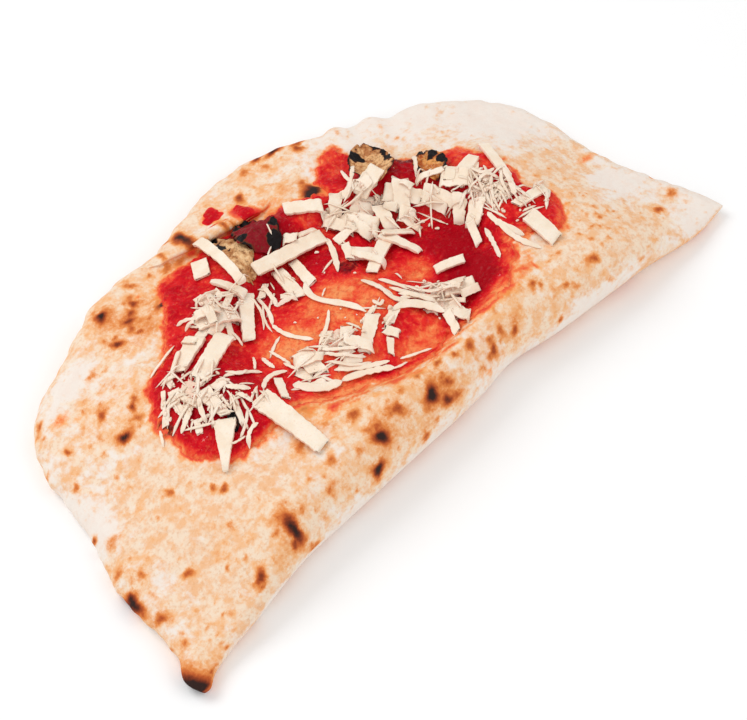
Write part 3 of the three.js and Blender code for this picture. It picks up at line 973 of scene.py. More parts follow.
@dataclass(frozen=True)
class HardCheese:
    """Ivory hard cheese with a slightly waxy, torn surface that lets a little light through."""

    ivory: Colour = shade(242, 222, 198)
    pale: Colour = shade(248, 236, 217)
    shadowed: Colour = shade(240, 205, 173)
    # Pink of sauce-soaked cheese; on the lower side of every bar it is also a painted glow in place of light passing
    # through and bouncing off the sauce.
    wet: Colour = shade(250, 170, 148)
    glow: float = 0.06
    glow_reach: float = 1.0

    def material(self) -> bpy.types.Material:
        """Ivory mottled with paler grain, a fine torn bump and soft light under the surface."""
        r = Recipe("hard_cheese")
        grain = r.noise(0.9, 3.0, 0.6)
        cloud = r.noise(7.0, 2.0)
        colour = r.mix(cloud.eased(0.35, 0.7), self.ivory, self.pale)
        colour = r.mix(grain.eased(0.52, 0.76) * 0.55, colour, self.shadowed)
        # The soaked mark lays the pink: sauce soaking, and on the bars' lower sides a painted glow.
        colour = r.mix((r.mark("soaked") + (cloud - 0.5) * 0.3).held(), colour, self.wet)
        normal = r.bump(grain + r.noise(2.4, 2.0) * 0.6, 0.22, 0.5)
        return r.finished(
            Base_Color=colour,
            Roughness=0.42 + grain * 0.2,
            Normal=normal,
            Subsurface_Weight=self.glow,
            Subsurface_Scale=self.glow_reach * MM,
            Subsurface_Radius=(1.0, 0.8, 0.55),
        )


@dataclass(frozen=True)
class CharredBasil:
    """A basil leaf dried by the oven: olive and tan, black at its edges. It reads the mark char."""

    olive: Colour = shade(176, 146, 98)
    straw: Colour = shade(238, 214, 172)
    tan: Colour = shade(230, 158, 86)
    rust: Colour = shade(190, 94, 38)
    brown: Colour = shade(110, 56, 32)
    black: Colour = shade(20, 16, 17)
    sauced: Colour = shade(138, 6, 24)

    def material(self) -> bpy.types.Material:
        """Olive and straw or tan and rust in patches, straw painted as highlight on the crumpling's ridges, then
        sauce, then brown painted as shade in its creases, then char, with crumpling as bump.
        """
        r = Recipe("charred_basil")
        patch = r.noise(4.0, 4.0, 0.6)
        crumple = r.noise(1.2, 3.0, 0.6)
        green = r.mix(patch.eased(0.42, 0.60), self.straw, self.olive)
        dry = r.mix(patch.eased(0.42, 0.62), self.tan, self.rust)
        # Painted highlight: paler straw where the crumple noise is high, which is where the bump puts the ridges.
        dry = r.mix(crumple.eased(0.52, 0.74) * 0.6, dry, self.straw)
        leaf = r.mix(r.mark("green"), dry, green)
        leaf = r.mix((r.mark("sauced") + (patch - 0.5) * 1.2).eased(0.4, 0.6), leaf, self.sauced)
        # Painted shade: brown where the crumple noise is low, which is where the bump puts the creases.
        leaf = r.mix(crumple.eased(0.47, 0.33) * 0.65, leaf, self.brown)
        char = (r.mark("char") + (patch - 0.5) * 0.4 + (crumple - 0.5) * 0.3).held()
        colour = r.mix(char.eased(0.30, 0.54), leaf, self.brown)
        colour = r.mix(char.eased(0.42, 0.72), colour, self.black)
        normal = r.bump(crumple + patch, 0.6, 0.7)
        return r.finished(Base_Color=colour, Roughness=0.4 + crumple * 0.3, Normal=normal, Specular_IOR_Level=0.16)


@dataclass(frozen=True)
class PaleTable:
    """A plain, matt, nearly white table top."""

    white: Colour = shade(252, 252, 252)

    def material(self) -> bpy.types.Material:
        """White with the faintest unevenness."""
        r = Recipe("pale_table")
        colour = r.mix(r.noise(60.0) * 0.03, self.white, shade(236, 236, 236))
        return r.finished(Base_Color=colour, Roughness=0.9)


# ---- where pieces become Blender objects ----


class Oven:
    """Turns patches into finished objects, and keeps the height that the next piece comes to rest on."""

    def __init__(self, form: DoughForm) -> None:
        """Finds the frame's origin in dough coordinates."""
        self.form = form
        self.middle = form.middle()
        self.landing = Raster()

    def place(self, points: Array) -> Array:
        """Dough coordinates in mm as the frame's metres."""
        return (np.asarray(points, float) - np.array([*self.middle, 0.0])) * MM

    def make(self, name: str, patch: Patch, material: bpy.types.Material) -> bpy.types.Object:
        """Makes one smooth-shaded object at the origin, with its place in its mesh.

        Args:
            name: The piece's name.
            patch: Its closed surface, in dough coordinates.
            material: Its finish.

        Returns:
            The object, linked to the scene.
        """
        mesh = bpy.data.meshes.new(name)
        loops = np.concatenate([patch.quads.ravel(), patch.tris.ravel()]).astype(np.int32)
        sizes = np.concatenate([np.full(len(patch.quads), 4), np.full(len(patch.tris), 3)]).astype(np.int32)
        mesh.vertices.add(len(patch.points))
        mesh.vertices.foreach_set("co", self.place(patch.points).astype(np.float32).ravel())
        mesh.loops.add(len(loops))
        mesh.loops.foreach_set("vertex_index", loops)
        mesh.polygons.add(len(sizes))
        mesh.polygons.foreach_set("loop_start", np.concatenate([[0], np.cumsum(sizes)[:-1]]).astype(np.int32))
        mesh.polygons.foreach_set("loop_total", sizes)
        mesh.polygons.foreach_set("use_smooth", np.ones(len(sizes), bool))
        mesh.update(calc_edges=True)
        mesh.validate()
        for mark, values in patch.marks.items():
            attribute = mesh.attributes.new(mark, "FLOAT", "POINT")
            attribute.data.foreach_set("value", np.asarray(values, np.float32))
        mesh.materials.append(material)
        piece = bpy.data.objects.new(name, mesh)
        bpy.context.scene.collection.objects.link(piece)
        log.info("%s: %d triangles", name, int((sizes - 2).sum()))
        return piece

    def serve(self, name: str, patch: Patch, material: bpy.types.Material, slot: Slot, *nodes: str) -> None:
        """Makes a piece of the calzone under the root body, and hides the CAD nodes that it stands for."""
        piece = self.make(name, patch, material)
        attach(piece, ROOT)
        if nodes:
            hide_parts(*nodes)


# ---- the dough ----


@dataclass(frozen=True)
class SpotBed(Oval):
    """An oval that the oven spotted at random: how many spots, and how dark the darkest is."""

    count: int
    dark: float


@dataclass
class Crust:
    """The folded dough: its relief, its browning and its mesh."""

    form: DoughForm
    oven: Oven
    columns: int = 380
    rows: int = 190
    side_rings: int = 12
    coarser: int = 5
    crowding: float = 0.35
    seed: int = 11
    blister_high: float = 0.22
    spots: tuple[tuple[float, float, float, float], ...] = (
        (-69, 143, 2.3, 1.04), (-68, 143, 4.0, 0.42), (-55, 139, 1.8, 0.6), (-59, 136, 1.6, 0.62),
        (-63, 133, 1.6, 0.7), (-48, 128, 2.2, 1), (-50, 127, 3.6, 0.35), (-64, 125, 1.4, 0.65),
        (-74, 128, 1.6, 0.75), (-76, 129, 1.2, 0.5), (-91, 125, 2.6, 0.55), (-102, 107, 1.8, 0.58),
        (-104, 92, 2.0, 1.1), (-121, 107, 1.5, 0.68), (-122, 120, 1.4, 0.5), (-129, 94, 1.7, 0.62),
        (-93, 99, 1.4, 0.75), (-90, 101, 1.6, 0.5), (-95, 93, 1.4, 0.45), (-91, 82, 1.8, 0.85),
        (-100, 53, 1.7, 0.5), (-98, 49, 1.7, 0.62), (-96, 45, 1.8, 0.75), (-109, 61, 1.8, 0.56),
        (-119, 126, 2.0, 0.6), (-136, 66, 3.2, 0.62), (-139, 74, 1.4, 0.85), (-119, 58, 1.4, 0.45),
        (-121, 67, 3.2, 0.25), (-127, 34, 2.1, 0.60), (-117, 23, 1.3, 0.56), (-110, 20, 1.3, 0.45),
        (-111, 10, 2.6, 0.84), (-113, 6, 1.6, 0.6), (-93, 8, 2.2, 0.8), (-92, 15, 6.0, 0.34),
        (-86, -1, 2.2, 1.1), (-105, 33, 1.8, 0.45), (-147, 45, 1.6, 1.15), (-148, 41, 1.6, 1.15),
        (-146, 30, 2.2, 0.6), (-137, -1, 1.2, 0.5), (-40, 15, 2.4, 1.1), (-39, 19, 2.4, 0.45),
        (-48, 6, 2.2, 1.2), (-12, 14, 2.6, 1.1), (-7, 8, 2.0, 0.72), (-2, 7, 1.6, 0.5), (-3, 14, 1.6, 0.46),
        (-11, 24, 1.8, 0.55), (-1, 22, 1.8, 0.5), (7, 20, 1.3, 0.56), (15, 19, 2.4, 0.6),
        (-42, 29, 2.8, 0.66), (-27, 19, 2.8, 0.5), (-52, 34, 2.0, 0.5), (-65, 35, 3.0, 0.56),
        (-52, 45, 2.6, 0.56), (-54, 51, 2.0, 0.9), (-61, 22, 2.2, 0.46), (-51, 17, 2.0, 0.4),
        (-42, 20, 2.0, 0.36), (-22, 2, 1.4, 0.46), (54, 20, 1.8, 0.5), (74, 23, 1.8, 0.5),
        (83, 12, 2.8, 0.64), (66, 11, 1.6, 0.46), (69, 8, 1.8, 0.44), (56, -1, 1.7, 0.8),
        (36, 11, 1.4, 0.56), (30, 15, 1.8, 0.5), (24, 15, 1.8, 0.5), (23, 11, 1.8, 0.72), (20, 10, 1.4, 0.5),
        (85, -1, 2.2, 0.5), (103, -3, 2.8, 0.48), (86, 5, 2.6, 0.28), (125, 83, 3.6, 0.2),
        (106, 43, 2.8, 0.38), (118, 37, 2.2, 0.22), (142, 37, 2.2, 0.26), (147, 31, 1.3, 0.6),
        (144, 18, 2.8, 0.62), (131, 15, 2.0, 0.62), (103, 25, 1.8, 0.5), (100, 32, 1.3, 0.44),
        (88, 24, 1.3, 0.55), (89, 19, 1.4, 0.55), (117, -5, 2.8, 0.28), (97, -4, 2.0, 0.36),
        (50, 148, 2.6, 0.66), (52, 146, 1.6, 0.5), (-2, 143, 1.3, 0.6), (1, 141, 1.2, 0.5),
        (5, 140, 1.4, 0.6), (26, 156, 2.6, 0.45), (34, 151, 2.2, 0.42), (27, 141, 2.2, 0.36),
        (22, 141, 2.6, 0.26), (14, 147, 2.2, 0.65), (36, 124, 3.4, 1.25), (36, 131, 2.0, 0.6),
        (-21, 150, 1.6, 0.8), (-22, 154, 1.6, 0.75), (-30, 151, 1.6, 0.6), (-27, 141, 2.4, 0.42),
        (-32, 143, 2.0, 0.36), (-49, 147, 2.0, 0.55), (84, 131, 2.0, 0.42), (83, 120, 1.7, 0.46),
        (69, 142, 2.2, 0.5),
    )
    scorches: tuple[Scorch, ...] = each(
        Scorch, (-157.5, -5, 4.4, 13, 1.60), (-90.5, 12, 2.4, 5.4, 1.00), (-148, 43, 1.8, 6.0, 1.00),
        (-18, 150, 3.4, 3.0, 1.00), (-63, 122, 10, 5, 0.22), (-80, 110, 12, 5, 0.20), (-60, 44, 12, 4, 0.30),
        (-52, 34, 8, 5, 0.26), (-46, 127, 4, 7, 0.40), (28, 134, 10, 5, 0.24), (36, 158, 4.0, 1.4, 0.80),
        (43, 155, 4.0, 1.6, 1.00), (53, 150.5, 4.0, 2.0, 0.62), (33, 123, 4.0, 4.2, 1.20),
    )
    zones: tuple[Scorch, ...] = each(
        Scorch, (-66, 136, 24, 16, 0.13), (-92, 22, 30, 14, 0.09), (-20, 16, 60, 10, 0.20),
        (-142, 34, 10, 24, 0.12), (-134, 95, 12, 26, 0.10), (44, 17, 34, 8, 0.08), (-96, 98, 12, 16, 0.10),
        (-5, 134, 20, 5, 0.34), (-10, 143, 28, 4, 0.26), (-62, 130, 22, 14, 0.14), (-106, 106, 18, 18, 0.13),
        (24, 149, 24, 8, 0.12), (140, 25, 20, 14, 0.10), (146, 12, 16, 14, 0.09), (-146, 8, 12, 10, 0.20),
        (-50, 44, 12, 8, 0.16), (20, 10, 60, 5, 0.12),
    )
    beds: tuple[SpotBed, ...] = each(
        SpotBed, (-60, 17, 75, 15, 60, 0.36), (20, 15, 50, 10, 24, 0.36), (-122, 45, 34, 50, 90, 0.38),
        (-110, 105, 30, 30, 56, 0.38), (-66, 135, 34, 20, 36, 0.42), (-148, 36, 6, 30, 10, 0.44),
        (40, 147, 60, 14, 24, 0.34), (115, 60, 36, 50, 70, 0.32), (100, 14, 55, 16, 44, 0.36),
        (102, 36, 10, 24, 44, 0.48),
    )
    shore: Shore = Shore()
    soaked: tuple[Oval, ...] = each(
        Oval, (-28, 40, 30, 8), (12, 30, 38, 7), (50, 32, 16, 9), (12, 131, 11, 8), (64, 40, 11, 5),
    )
    pale: tuple[Oval, ...] = each(
        Oval, (92, 140, 40, 24), (120, 92, 26, 24), (126, 38, 16, 12), (-138, 80, 14, 22), (-100, 130, 16, 8),
        (60, -6, 90, 8), (-80, -8, 50, 6), (-60, 158, 24, 6), (150, 6, 14, 11),
    )
    smudges: tuple[Scorch, ...] = each(
        Scorch, (-113, 119.5, 5.5, 2.6, 0.56), (-108, 115, 3, 2, 0.36), (133, 56, 9, 2.4, 0.48),
        (99, 74, 3.5, 1.6, 0.50), (62, 26, 1.3, 3.4, 0.66), (17, 4, 3, 2.6, 0.40), (13, 6, 2.5, 2.2, 0.32),
        (-51, 140.5, 2.4, 1.6, 0.50), (-19, 142, 3.5, 2.4, 0.75), (-1, 148.4, 5.0, 3.4, 1.0),
        (7, 142, 4.2, 3.4, 0.95), (11, 137, 3.6, 4.4, 0.90), (15, 128, 5, 8, 0.42),
    )

    def __post_init__(self) -> None:
        """Paints the toast and blister fields."""
        self.toast = Raster()
        self.blister = Raster()
        rng = np.random.default_rng(self.seed)
        for bed in self.beds:
            self._spot_bed(bed, rng)
        for x, y, radius, dark in self.spots:
            self._spot(Scorch(x, y, radius, radius, 0.86 * dark), rng)
        for scorch in self.scorches:
            self._spot(scorch, rng)

    def _spot(self, spot: Scorch, rng: np.random.Generator) -> None:
        """Stamps one uneven browned blister: an oval whose outline wavers by two sines of its angle."""
        wave, turn = rng.uniform(0, 2 * np.pi, 2)

        def share(dx: Array, dy: Array) -> Array:
            """Distance from the middle as a share of the wavering outline."""
            angle = np.arctan2(dy, dx)
            outline = 1 + 0.22 * np.sin(2 * angle + wave) + 0.14 * np.sin(3 * angle + turn)
            return np.hypot(dx / spot.half_length, dy / spot.half_width) / outline

        reach = 2.6 * max(spot.half_length, spot.half_width)
        high = self.blister_high * min(spot.half_length, spot.half_width)

        def scorched(dx: Array, dy: Array) -> Array:
            """A dark middle in a wide pale halo: the sum of a narrow and a broad bell."""
            away = share(dx, dy)
            return spot.dark * (0.42 * gauss(away * 0.58) + 0.58 * gauss(away * 1.04))

        self.toast.stamp(spot.x, spot.y, reach, scorched, False)
        self.blister.stamp(spot.x, spot.y, reach, lambda dx, dy: high * gauss(share(dx, dy) * 1.1), True)

    def _spot_bed(self, bed: SpotBed, rng: np.random.Generator) -> None:
        """Scatters a bed's spots: many small pale ones and few large dark ones."""
        for _ in range(bed.count):
            x = bed.x + bed.half_length * rng.uniform(-1, 1)
            y = bed.y + bed.half_width * rng.uniform(-1, 1)
            radius = 0.6 + 1.2 * rng.random() ** 2.0
            dark = bed.dark * rng.uniform(0.4, 1.0)
            longer = rng.uniform(0.8, 1.5)
            self._spot(Scorch(x, y, radius * longer, radius, dark), rng)

    def relief(self, x: Array, y: Array) -> Array:
        """Fine height over the smooth form.

        Rolling ripples of three sizes, pleats along the sealed edge, slanting stretch lines on the front
        ridge, and a blister under each browned spot, all fading out at the edges.

        Args:
            x, y: Dough coordinates in mm.

        Returns:
            Heights to add, in mm.
        """
        rim, fold, angle = self.form.edge_distances(x, y)
        height = 0.75 * Ripple(31, 1)(x, y) + 0.42 * Ripple(12, 2)(x, y) + 0.15 * Ripple(4.6, 3, 2)(x, y)
        pleats = 1 - np.abs(Ripple(9, 5)(angle * 2.6, rim * 0.45))
        height += 0.55 * pleats * smooth((34 - rim) / 26)
        lines = 1 - np.abs(Ripple(3.2, 6)(x * 0.42 + y * 0.9, (y - 0.5 * x) * 0.25))
        ridge = gauss((y - 24) / 10) * smooth((x + 30) / 50) * smooth((118 - x) / 40)
        height += 0.40 * lines * ridge
        height += 0.35 * self.shore_lines(x, y)
        height += self.blister.sample(x, self.form.unrolled(x, y))
        return height * smooth(np.minimum(rim, fold) / 5)

    def shore_lines(self, x: Array, y: Array) -> Array:
        """Fine ridges that run along the sauce's outline, from about -1 to 1 and fading away from it."""
        inland = self.shore.inland(x, y)
        return Ripple(2.2, 27, 2)(inland, 0.1 * (x + y)) * gauss(inland / 7) * smooth((100 - y) / 30)

    def surface(self, x: Array, y: Array) -> Array:
        """Height of the finished upper surface."""
        return self.form.top_height(x, y) + self.relief(x, y)

    def flap_lean(self, x: Array, y: Array) -> Array:
        """How far the torn flap leans forward over the basil: a bell across it, fading at its ends."""
        along, away = self.form.flap_place(x, y)
        return 4.4 * gauss((away + 0.8) / 2.4) * smooth((1.1 - np.abs(along)) / 0.35)

    def _frayed(self, x: Array, y: Array) -> tuple[Array, Array]:
        """Points moved in and out along their radius by ripples of the angle, only near the sealed edge."""
        rim, _, angle = self.form.edge_distances(x, y)
        stray = 0.9 * Ripple(3.1, 33, 2)(angle, 0 * angle) * gauss(rim / 5) * smooth(y / 20)
        share = 1 + stray / np.maximum(np.hypot(x, y), 1)
        return x * share, y * share

    def _marks(self, x: Array, y: Array, skin_y: Array) -> dict[str, Array]:
        """The numbers that the dough's material reads.

        Args:
            x, y: Dough coordinates in mm.
            skin_y: The y measured along the skin, on which the spots lie.

        Returns:
            toast, stain and flour at each point.
        """
        toast = self.toast.sample(x, skin_y)
        for zone in self.zones:
            away = np.hypot((x - zone.x) / zone.half_length, (y - zone.y) / zone.half_width)
            toast = toast + zone.dark * gauss(away)
        # Painted shade: the second term browns the dough more and more below the fold's widest line, down the front
        # side where the roll turns under towards the table and on over the front of the base. It stands in for the
        # shade on the roll's lower side.
        toast += 0.10 * Ripple(15, 21, 2)(x, skin_y) + 0.30 * smooth((-6 - skin_y) / 12)
        inland = self.shore.edge(x, y)
        stain = 0.66 * smooth((inland + 3.2) / 4.4) + 0.2 * Ripple(9, 23, 2)(x, y) * smooth(inland + 2)
        stain += 0.16 * self.shore_lines(x, y) + 0.14 * smooth((inland + 11) / 10)
        streaks = 0.22 * Ripple(1.6, 24, 2)(0.25 * x + y, 0.15 * x) + 0.2 * Ripple(7, 26, 2)(x, y)
        for oval in self.soaked:
            stain = np.maximum(stain, (0.42 + streaks) * smooth((1.35 - oval.reach(x, y)) / 0.6))
        for smudge in self.smudges:
            away = np.hypot((x - smudge.x) / smudge.half_length, (skin_y - smudge.y) / smudge.half_width)
            stain = np.maximum(stain, smudge.dark * gauss(away))
        flour = 0.32 + 0.25 * Ripple(42, 25)(x, y)
        for pale in self.pale:
            flour = flour + 0.45 * gauss(pale.reach(x, skin_y))
        return {"toast": toast, "stain": stain, "flour": flour}

    def _crowded(self, steps: int) -> Array:
        """Numbers from 0 to 1 that lie closer together towards both ends, by an eased share."""
        t = np.linspace(0, 1, steps + 1)
        return t + self.crowding * (smooth(t) - t)

    def patch(self) -> Patch:
        """The whole dough as one closed surface.

        The upper side is a grid over the half-moon. Rings of the outline go down and in from it by a quarter
        ellipse, and a coarser grid, each of whose edges meets several of theirs, closes the flat base.

        Returns:
            The patch with its marks.
        """
        u, v = np.meshgrid(2 * self._crowded(self.columns) - 1, self._crowded(self.rows), indexing="ij")
        x, y = self.form.plan(u, v)
        z = self.surface(x, y)
        points = [np.stack([*self._frayed(x, y - self.flap_lean(x, y)), z], -1).reshape(-1, 3)]
        marks = [self._marks(x, y, self.form.unrolled(x, y))]
        index = np.arange(x.size).reshape(x.shape)
        quads = [grid_quads(index)]
        loop = box_edge(index)
        edge_u, edge_v = u.ravel()[loop], v.ravel()[loop]
        edge_x, edge_y = x.ravel()[loop], y.ravel()[loop]
        rim, fold, _ = self.form.edge_distances(edge_x, edge_y)
        side = self.form.side_height(edge_x, rim, fold)
        top_skin = self.form.unrolled(edge_x, edge_y)
        count = x.size
        for k in range(1, self.side_rings + 1):
            turn = k / (self.side_rings + 1) * np.pi / 2
            ring_x, ring_y = self.form.plan(edge_u, edge_v, 1 - np.cos(turn))
            puff = 0.35 * Ripple(14, 31)(edge_x, edge_y) * np.sin(2 * turn)
            ring_z = side * (1 - np.sin(turn)) + puff * (side > 2)
            points.append(np.stack([*self._frayed(ring_x, ring_y), ring_z], -1))
            skin = top_skin - side * turn * np.where(edge_y > 60, -1, 1)
            marks.append(self._marks(edge_x, edge_y, skin))
            following = count + np.arange(len(loop))
            quads.append(band_quads(loop, following))
            loop = following
            count += len(loop)
        base_u, base_v = u[:: self.coarser, :: self.coarser], v[:: self.coarser, :: self.coarser]
        base_x, base_y = self.form.plan(base_u, base_v, 1.0)
        points.append(np.stack([base_x, base_y, np.zeros_like(base_x)], -1).reshape(-1, 3))
        marks.append(self._marks(base_x, base_y, base_y - 40))
        base = count + np.arange(base_x.size).reshape(base_x.shape)
        quads.append(grid_quads(base)[:, ::-1])
        joined = {name: np.concatenate([np.ravel(m[name]) for m in marks]) for name in marks[0]}
        return Patch(np.concatenate(points), np.concatenate(quads), self._hem(loop, box_edge(base)), joined)

    def _hem(self, fine: Array, coarse: Array) -> Array:
        """Triangles between a fine loop and the coarser one inside it that closes the base.

        Each coarse edge takes a fan from each of its ends to the fine points nearest to that end.

        Args:
            fine: Point numbers of the fine loop, anticlockwise.
            coarse: Point numbers of the coarse loop, anticlockwise, one for every few fine ones.

        Returns:
            The faces, facing out and down.
        """
        step = self.coarser
        half = step // 2
        starts = np.arange(len(coarse))
        ends = (starts + 1) % len(coarse)
        at = starts * step
        fans = [
            np.stack([fine[at + k], coarse[starts if k < half else ends], fine[(at + k + 1) % len(fine)]], -1)
            for k in range(step)
        ]
        gap = np.stack([fine[at + half], coarse[starts], coarse[ends]], -1)
        return np.concatenate([*fans, gap])

    def serve(self) -> None:
        """Makes the dough and lays it in the landing field."""
        x, y = self.oven.landing.centres()
        rim, fold, _ = self.form.edge_distances(x, y)
        inside = (rim > 0) & (fold > 0) & (y > 0)
        self.oven.landing.values[inside] = self.surface(x, y)[inside]
        self.oven.serve("baked_crust", self.patch(), BakedDough().material(), Slot.DOUGH, "crust")


# ---- the sauce ----


@dataclass
class TomatoSauce:
    """The sauce round and in the crater: a lumpy sheet that dives into the dough at its shore."""

    oven: Oven
    crust: Crust
    spokes: int = 720
    sweep: int = 5
    rings: int = 86
    back_rings: int = 8
    margin: float = 5.0
    thick: float = 1.5
    bank: float = 3.0
    sunk: float = 0.5
    fullest: float = 3.2
    zones: tuple[Scorch, ...] = each(
        Scorch, (54, 63, 12, 12, 0.56), (45, 44, 13, 13, 0.62), (33, 63, 7, 7, -0.34), (42, 76, 9, 6, 0.26),
        (49, 81, 5, 5, -0.20), (6, 36, 12, 6, -0.40), (-8, 66, 32, 16, -0.36), (-4, 80, 14, 8, -0.24),
        (-33, 76, 10, 10, -0.34), (8, 96, 12, 6, 0.30), (-12, 101, 8, 9, 0.35), (-72, 74, 18, 24, 0.36),
        (-34, 44, 26, 6, -0.42), (18, 116, 4, 4, -0.20), (12, 115, 6, 5, 0.20), (-44, 122, 12, 14, 0.14),
        (52, 131, 10, 9, -0.10), (64, 102, 9, 9, 0.34), (86, 84, 8, 9, -0.12), (90, 46, 8, 10, -0.04),
        (58, 36, 7, 7, -0.34), (38, 28, 14, 5, -0.34), (2, 124, 16, 12, 0.50),
    )
    burnt: tuple[Oval, ...] = each(
        Oval, (2, 130, 13, 10), (33, 106, 7, 6), (14, 84, 6, 5), (-92, 80, 3, 6), (73, 108, 7, 7),
    )
    splashes: tuple[Oval, ...] = each(Oval, (-0.8, 148.4, 5.6, 3.8), (9, 139.6, 3.4, 5.4))

    def _depth(self, x: Array, y: Array) -> Array:
        """Share of the deepest sauce at each point: a mean, plus a bell for each pool or bare ridge."""
        depth = np.full(np.shape(x), self.thick / self.fullest)
        for zone in self.zones:
            depth += zone.dark * gauss(np.hypot((x - zone.x) / zone.half_length, (y - zone.y) / zone.half_width) ** 2)
        return depth

    def _cover(self, x: Array, y: Array) -> Array:
        """Thickness of the sauce over the dough.

        The depth in mm, rippled in two sizes, creased by one minus the size of a third ripple so that the
        pulp stands in lumps, and rounded down to below nothing at the wandering shore.

        Args:
            x, y: Dough coordinates in mm.

        Returns:
            Thickness in mm, which is below 0 where there is none.
        """
        cover = 0.3 + self.fullest * np.clip(self._depth(x, y), 0.03, 1.1)
        cover += 0.5 * Ripple(13, 41)(x, y) + 0.42 * Ripple(5.5, 42)(x, y)
        cover += 0.62 * (0.35 - np.abs(Ripple(4.2, 46)(x, y))) + 0.2 * Ripple(1.9, 47)(x, y)
        inland = self.crust.shore.edge(x, y)
        return (np.maximum(cover, 0.12) + self.sunk) * quarter_round(inland / self.bank) - self.sunk

    def _rim(self) -> Array:
        """The spokes' ends relative to the middle, at equal steps along the widened shore."""
        turn = np.linspace(-np.pi, np.pi, self.sweep * self.spokes + 1)
        reach = self.crust.shore.rim(turn, self.margin)
        line = np.stack([reach * np.cos(turn), reach * np.sin(turn)], -1)
        along = np.append(0, np.cumsum(np.hypot(*np.diff(line, axis=0).T)))
        ends = np.linspace(0, along[-1], self.spokes, endpoint=False)
        return np.stack([np.interp(ends, along, part) for part in line.T], -1)

    def serve(self) -> None:
        """Makes the sheet and the splashes beside it, and raises the landing field under them."""
        middle = self.crust.shore.middle
        rim = self._rim()
        x, y = disc(middle, rim, 1 - (1 - np.linspace(0, 1, self.rings + 1)[1:]) ** 1.15).T
        cover = self._cover(x, y)
        back = disc(middle, rim, np.linspace(0, 1, self.back_rings + 1)[1:]).T
        top = np.column_stack([x, y, self.crust.surface(x, y) + cover])
        under = np.column_stack([*back, self.crust.form.top_height(*back) - 4.0])
        spare = np.zeros(len(under))
        inland = self.crust.shore.edge(x, y)
        rich = 0.45 + 0.55 * smooth((inland - 0.3) / 2.2)
        lines = 0.22 * self.crust.shore_lines(x, y)
        burnt = np.max([smooth((1.4 - oval.reach(x, y)) / 0.9) for oval in self.burnt], 0)
        marks = {
            "depth": np.append((0.6 * self._depth(x, y) + 0.4 * cover / self.fullest + lines) * rich, spare),
            "burnt": np.append(0.62 * burnt, spare),
        }
        faces = cap_faces(self.rings, self.spokes, self.back_rings)
        patch = Patch(np.concatenate([top, under]), *faces, marks)
        material = TomatoGloss().material()
        self.oven.serve("sauce_sheet", patch, material, Slot.SAUCE, "tomato_sauce")
        self.oven.landing.values += np.maximum(self._cover(*self.oven.landing.centres()), 0)
        self.oven.serve("sauce_splashes", Patch.joined(map(self._splash, self.splashes)), material, Slot.SAUCE)

    def _splash(self, oval: Oval, rings: int = 14, spokes: int = 72) -> Patch:
        """A small splash: a low cap with an uneven outline, closed by a second cap sunk in the dough."""
        turn = 2 * np.pi * np.arange(spokes) / spokes
        uneven = 1 + 0.14 * np.sin(2 * turn + oval.x) + 0.20 * np.sin(3 * turn + 4) + 0.07 * np.sin(7 * turn)
        rim = np.stack([oval.half_length * uneven * np.cos(turn), oval.half_width * uneven * np.sin(turn)], -1)
        share = np.linspace(0, 1, rings + 1)[1:]
        x, y = disc((oval.x, oval.y), rim, share).T
        away = np.append(np.repeat(share, spokes), 0.0)
        cover = 0.9 * quarter_round((1 - away) * 1.3) - 0.35
        dough = self.crust.surface(x, y)
        lean = self.crust.flap_lean(x, y)
        top = np.column_stack([x, y - lean, dough + cover])
        back = np.column_stack([x, y - lean, dough - 1.2])
        marks = {"depth": np.tile(0.42 + 0.35 * cover, 2), "burnt": np.zeros(2 * len(x))}
        return Patch(np.concatenate([top, back]), *cap_faces(rings, spokes, rings), marks)


# ---- cheese ----


@dataclass(frozen=True)
class Shaving:
    """A large slab of grated cheese: its place, heading in degrees from +x, and sizes in mm."""

    x: float
    y: float
    heading: float
    length: float
    width: float
    taper: float = 0.12
    thick: float = 1.0


@dataclass(frozen=True)
class Sprinkle(Oval):
    """An oval where gratings fell at random: how many, their heading in degrees, and how far they stray."""

    shreds: int
    chips: int
    heading: float
    spread: float


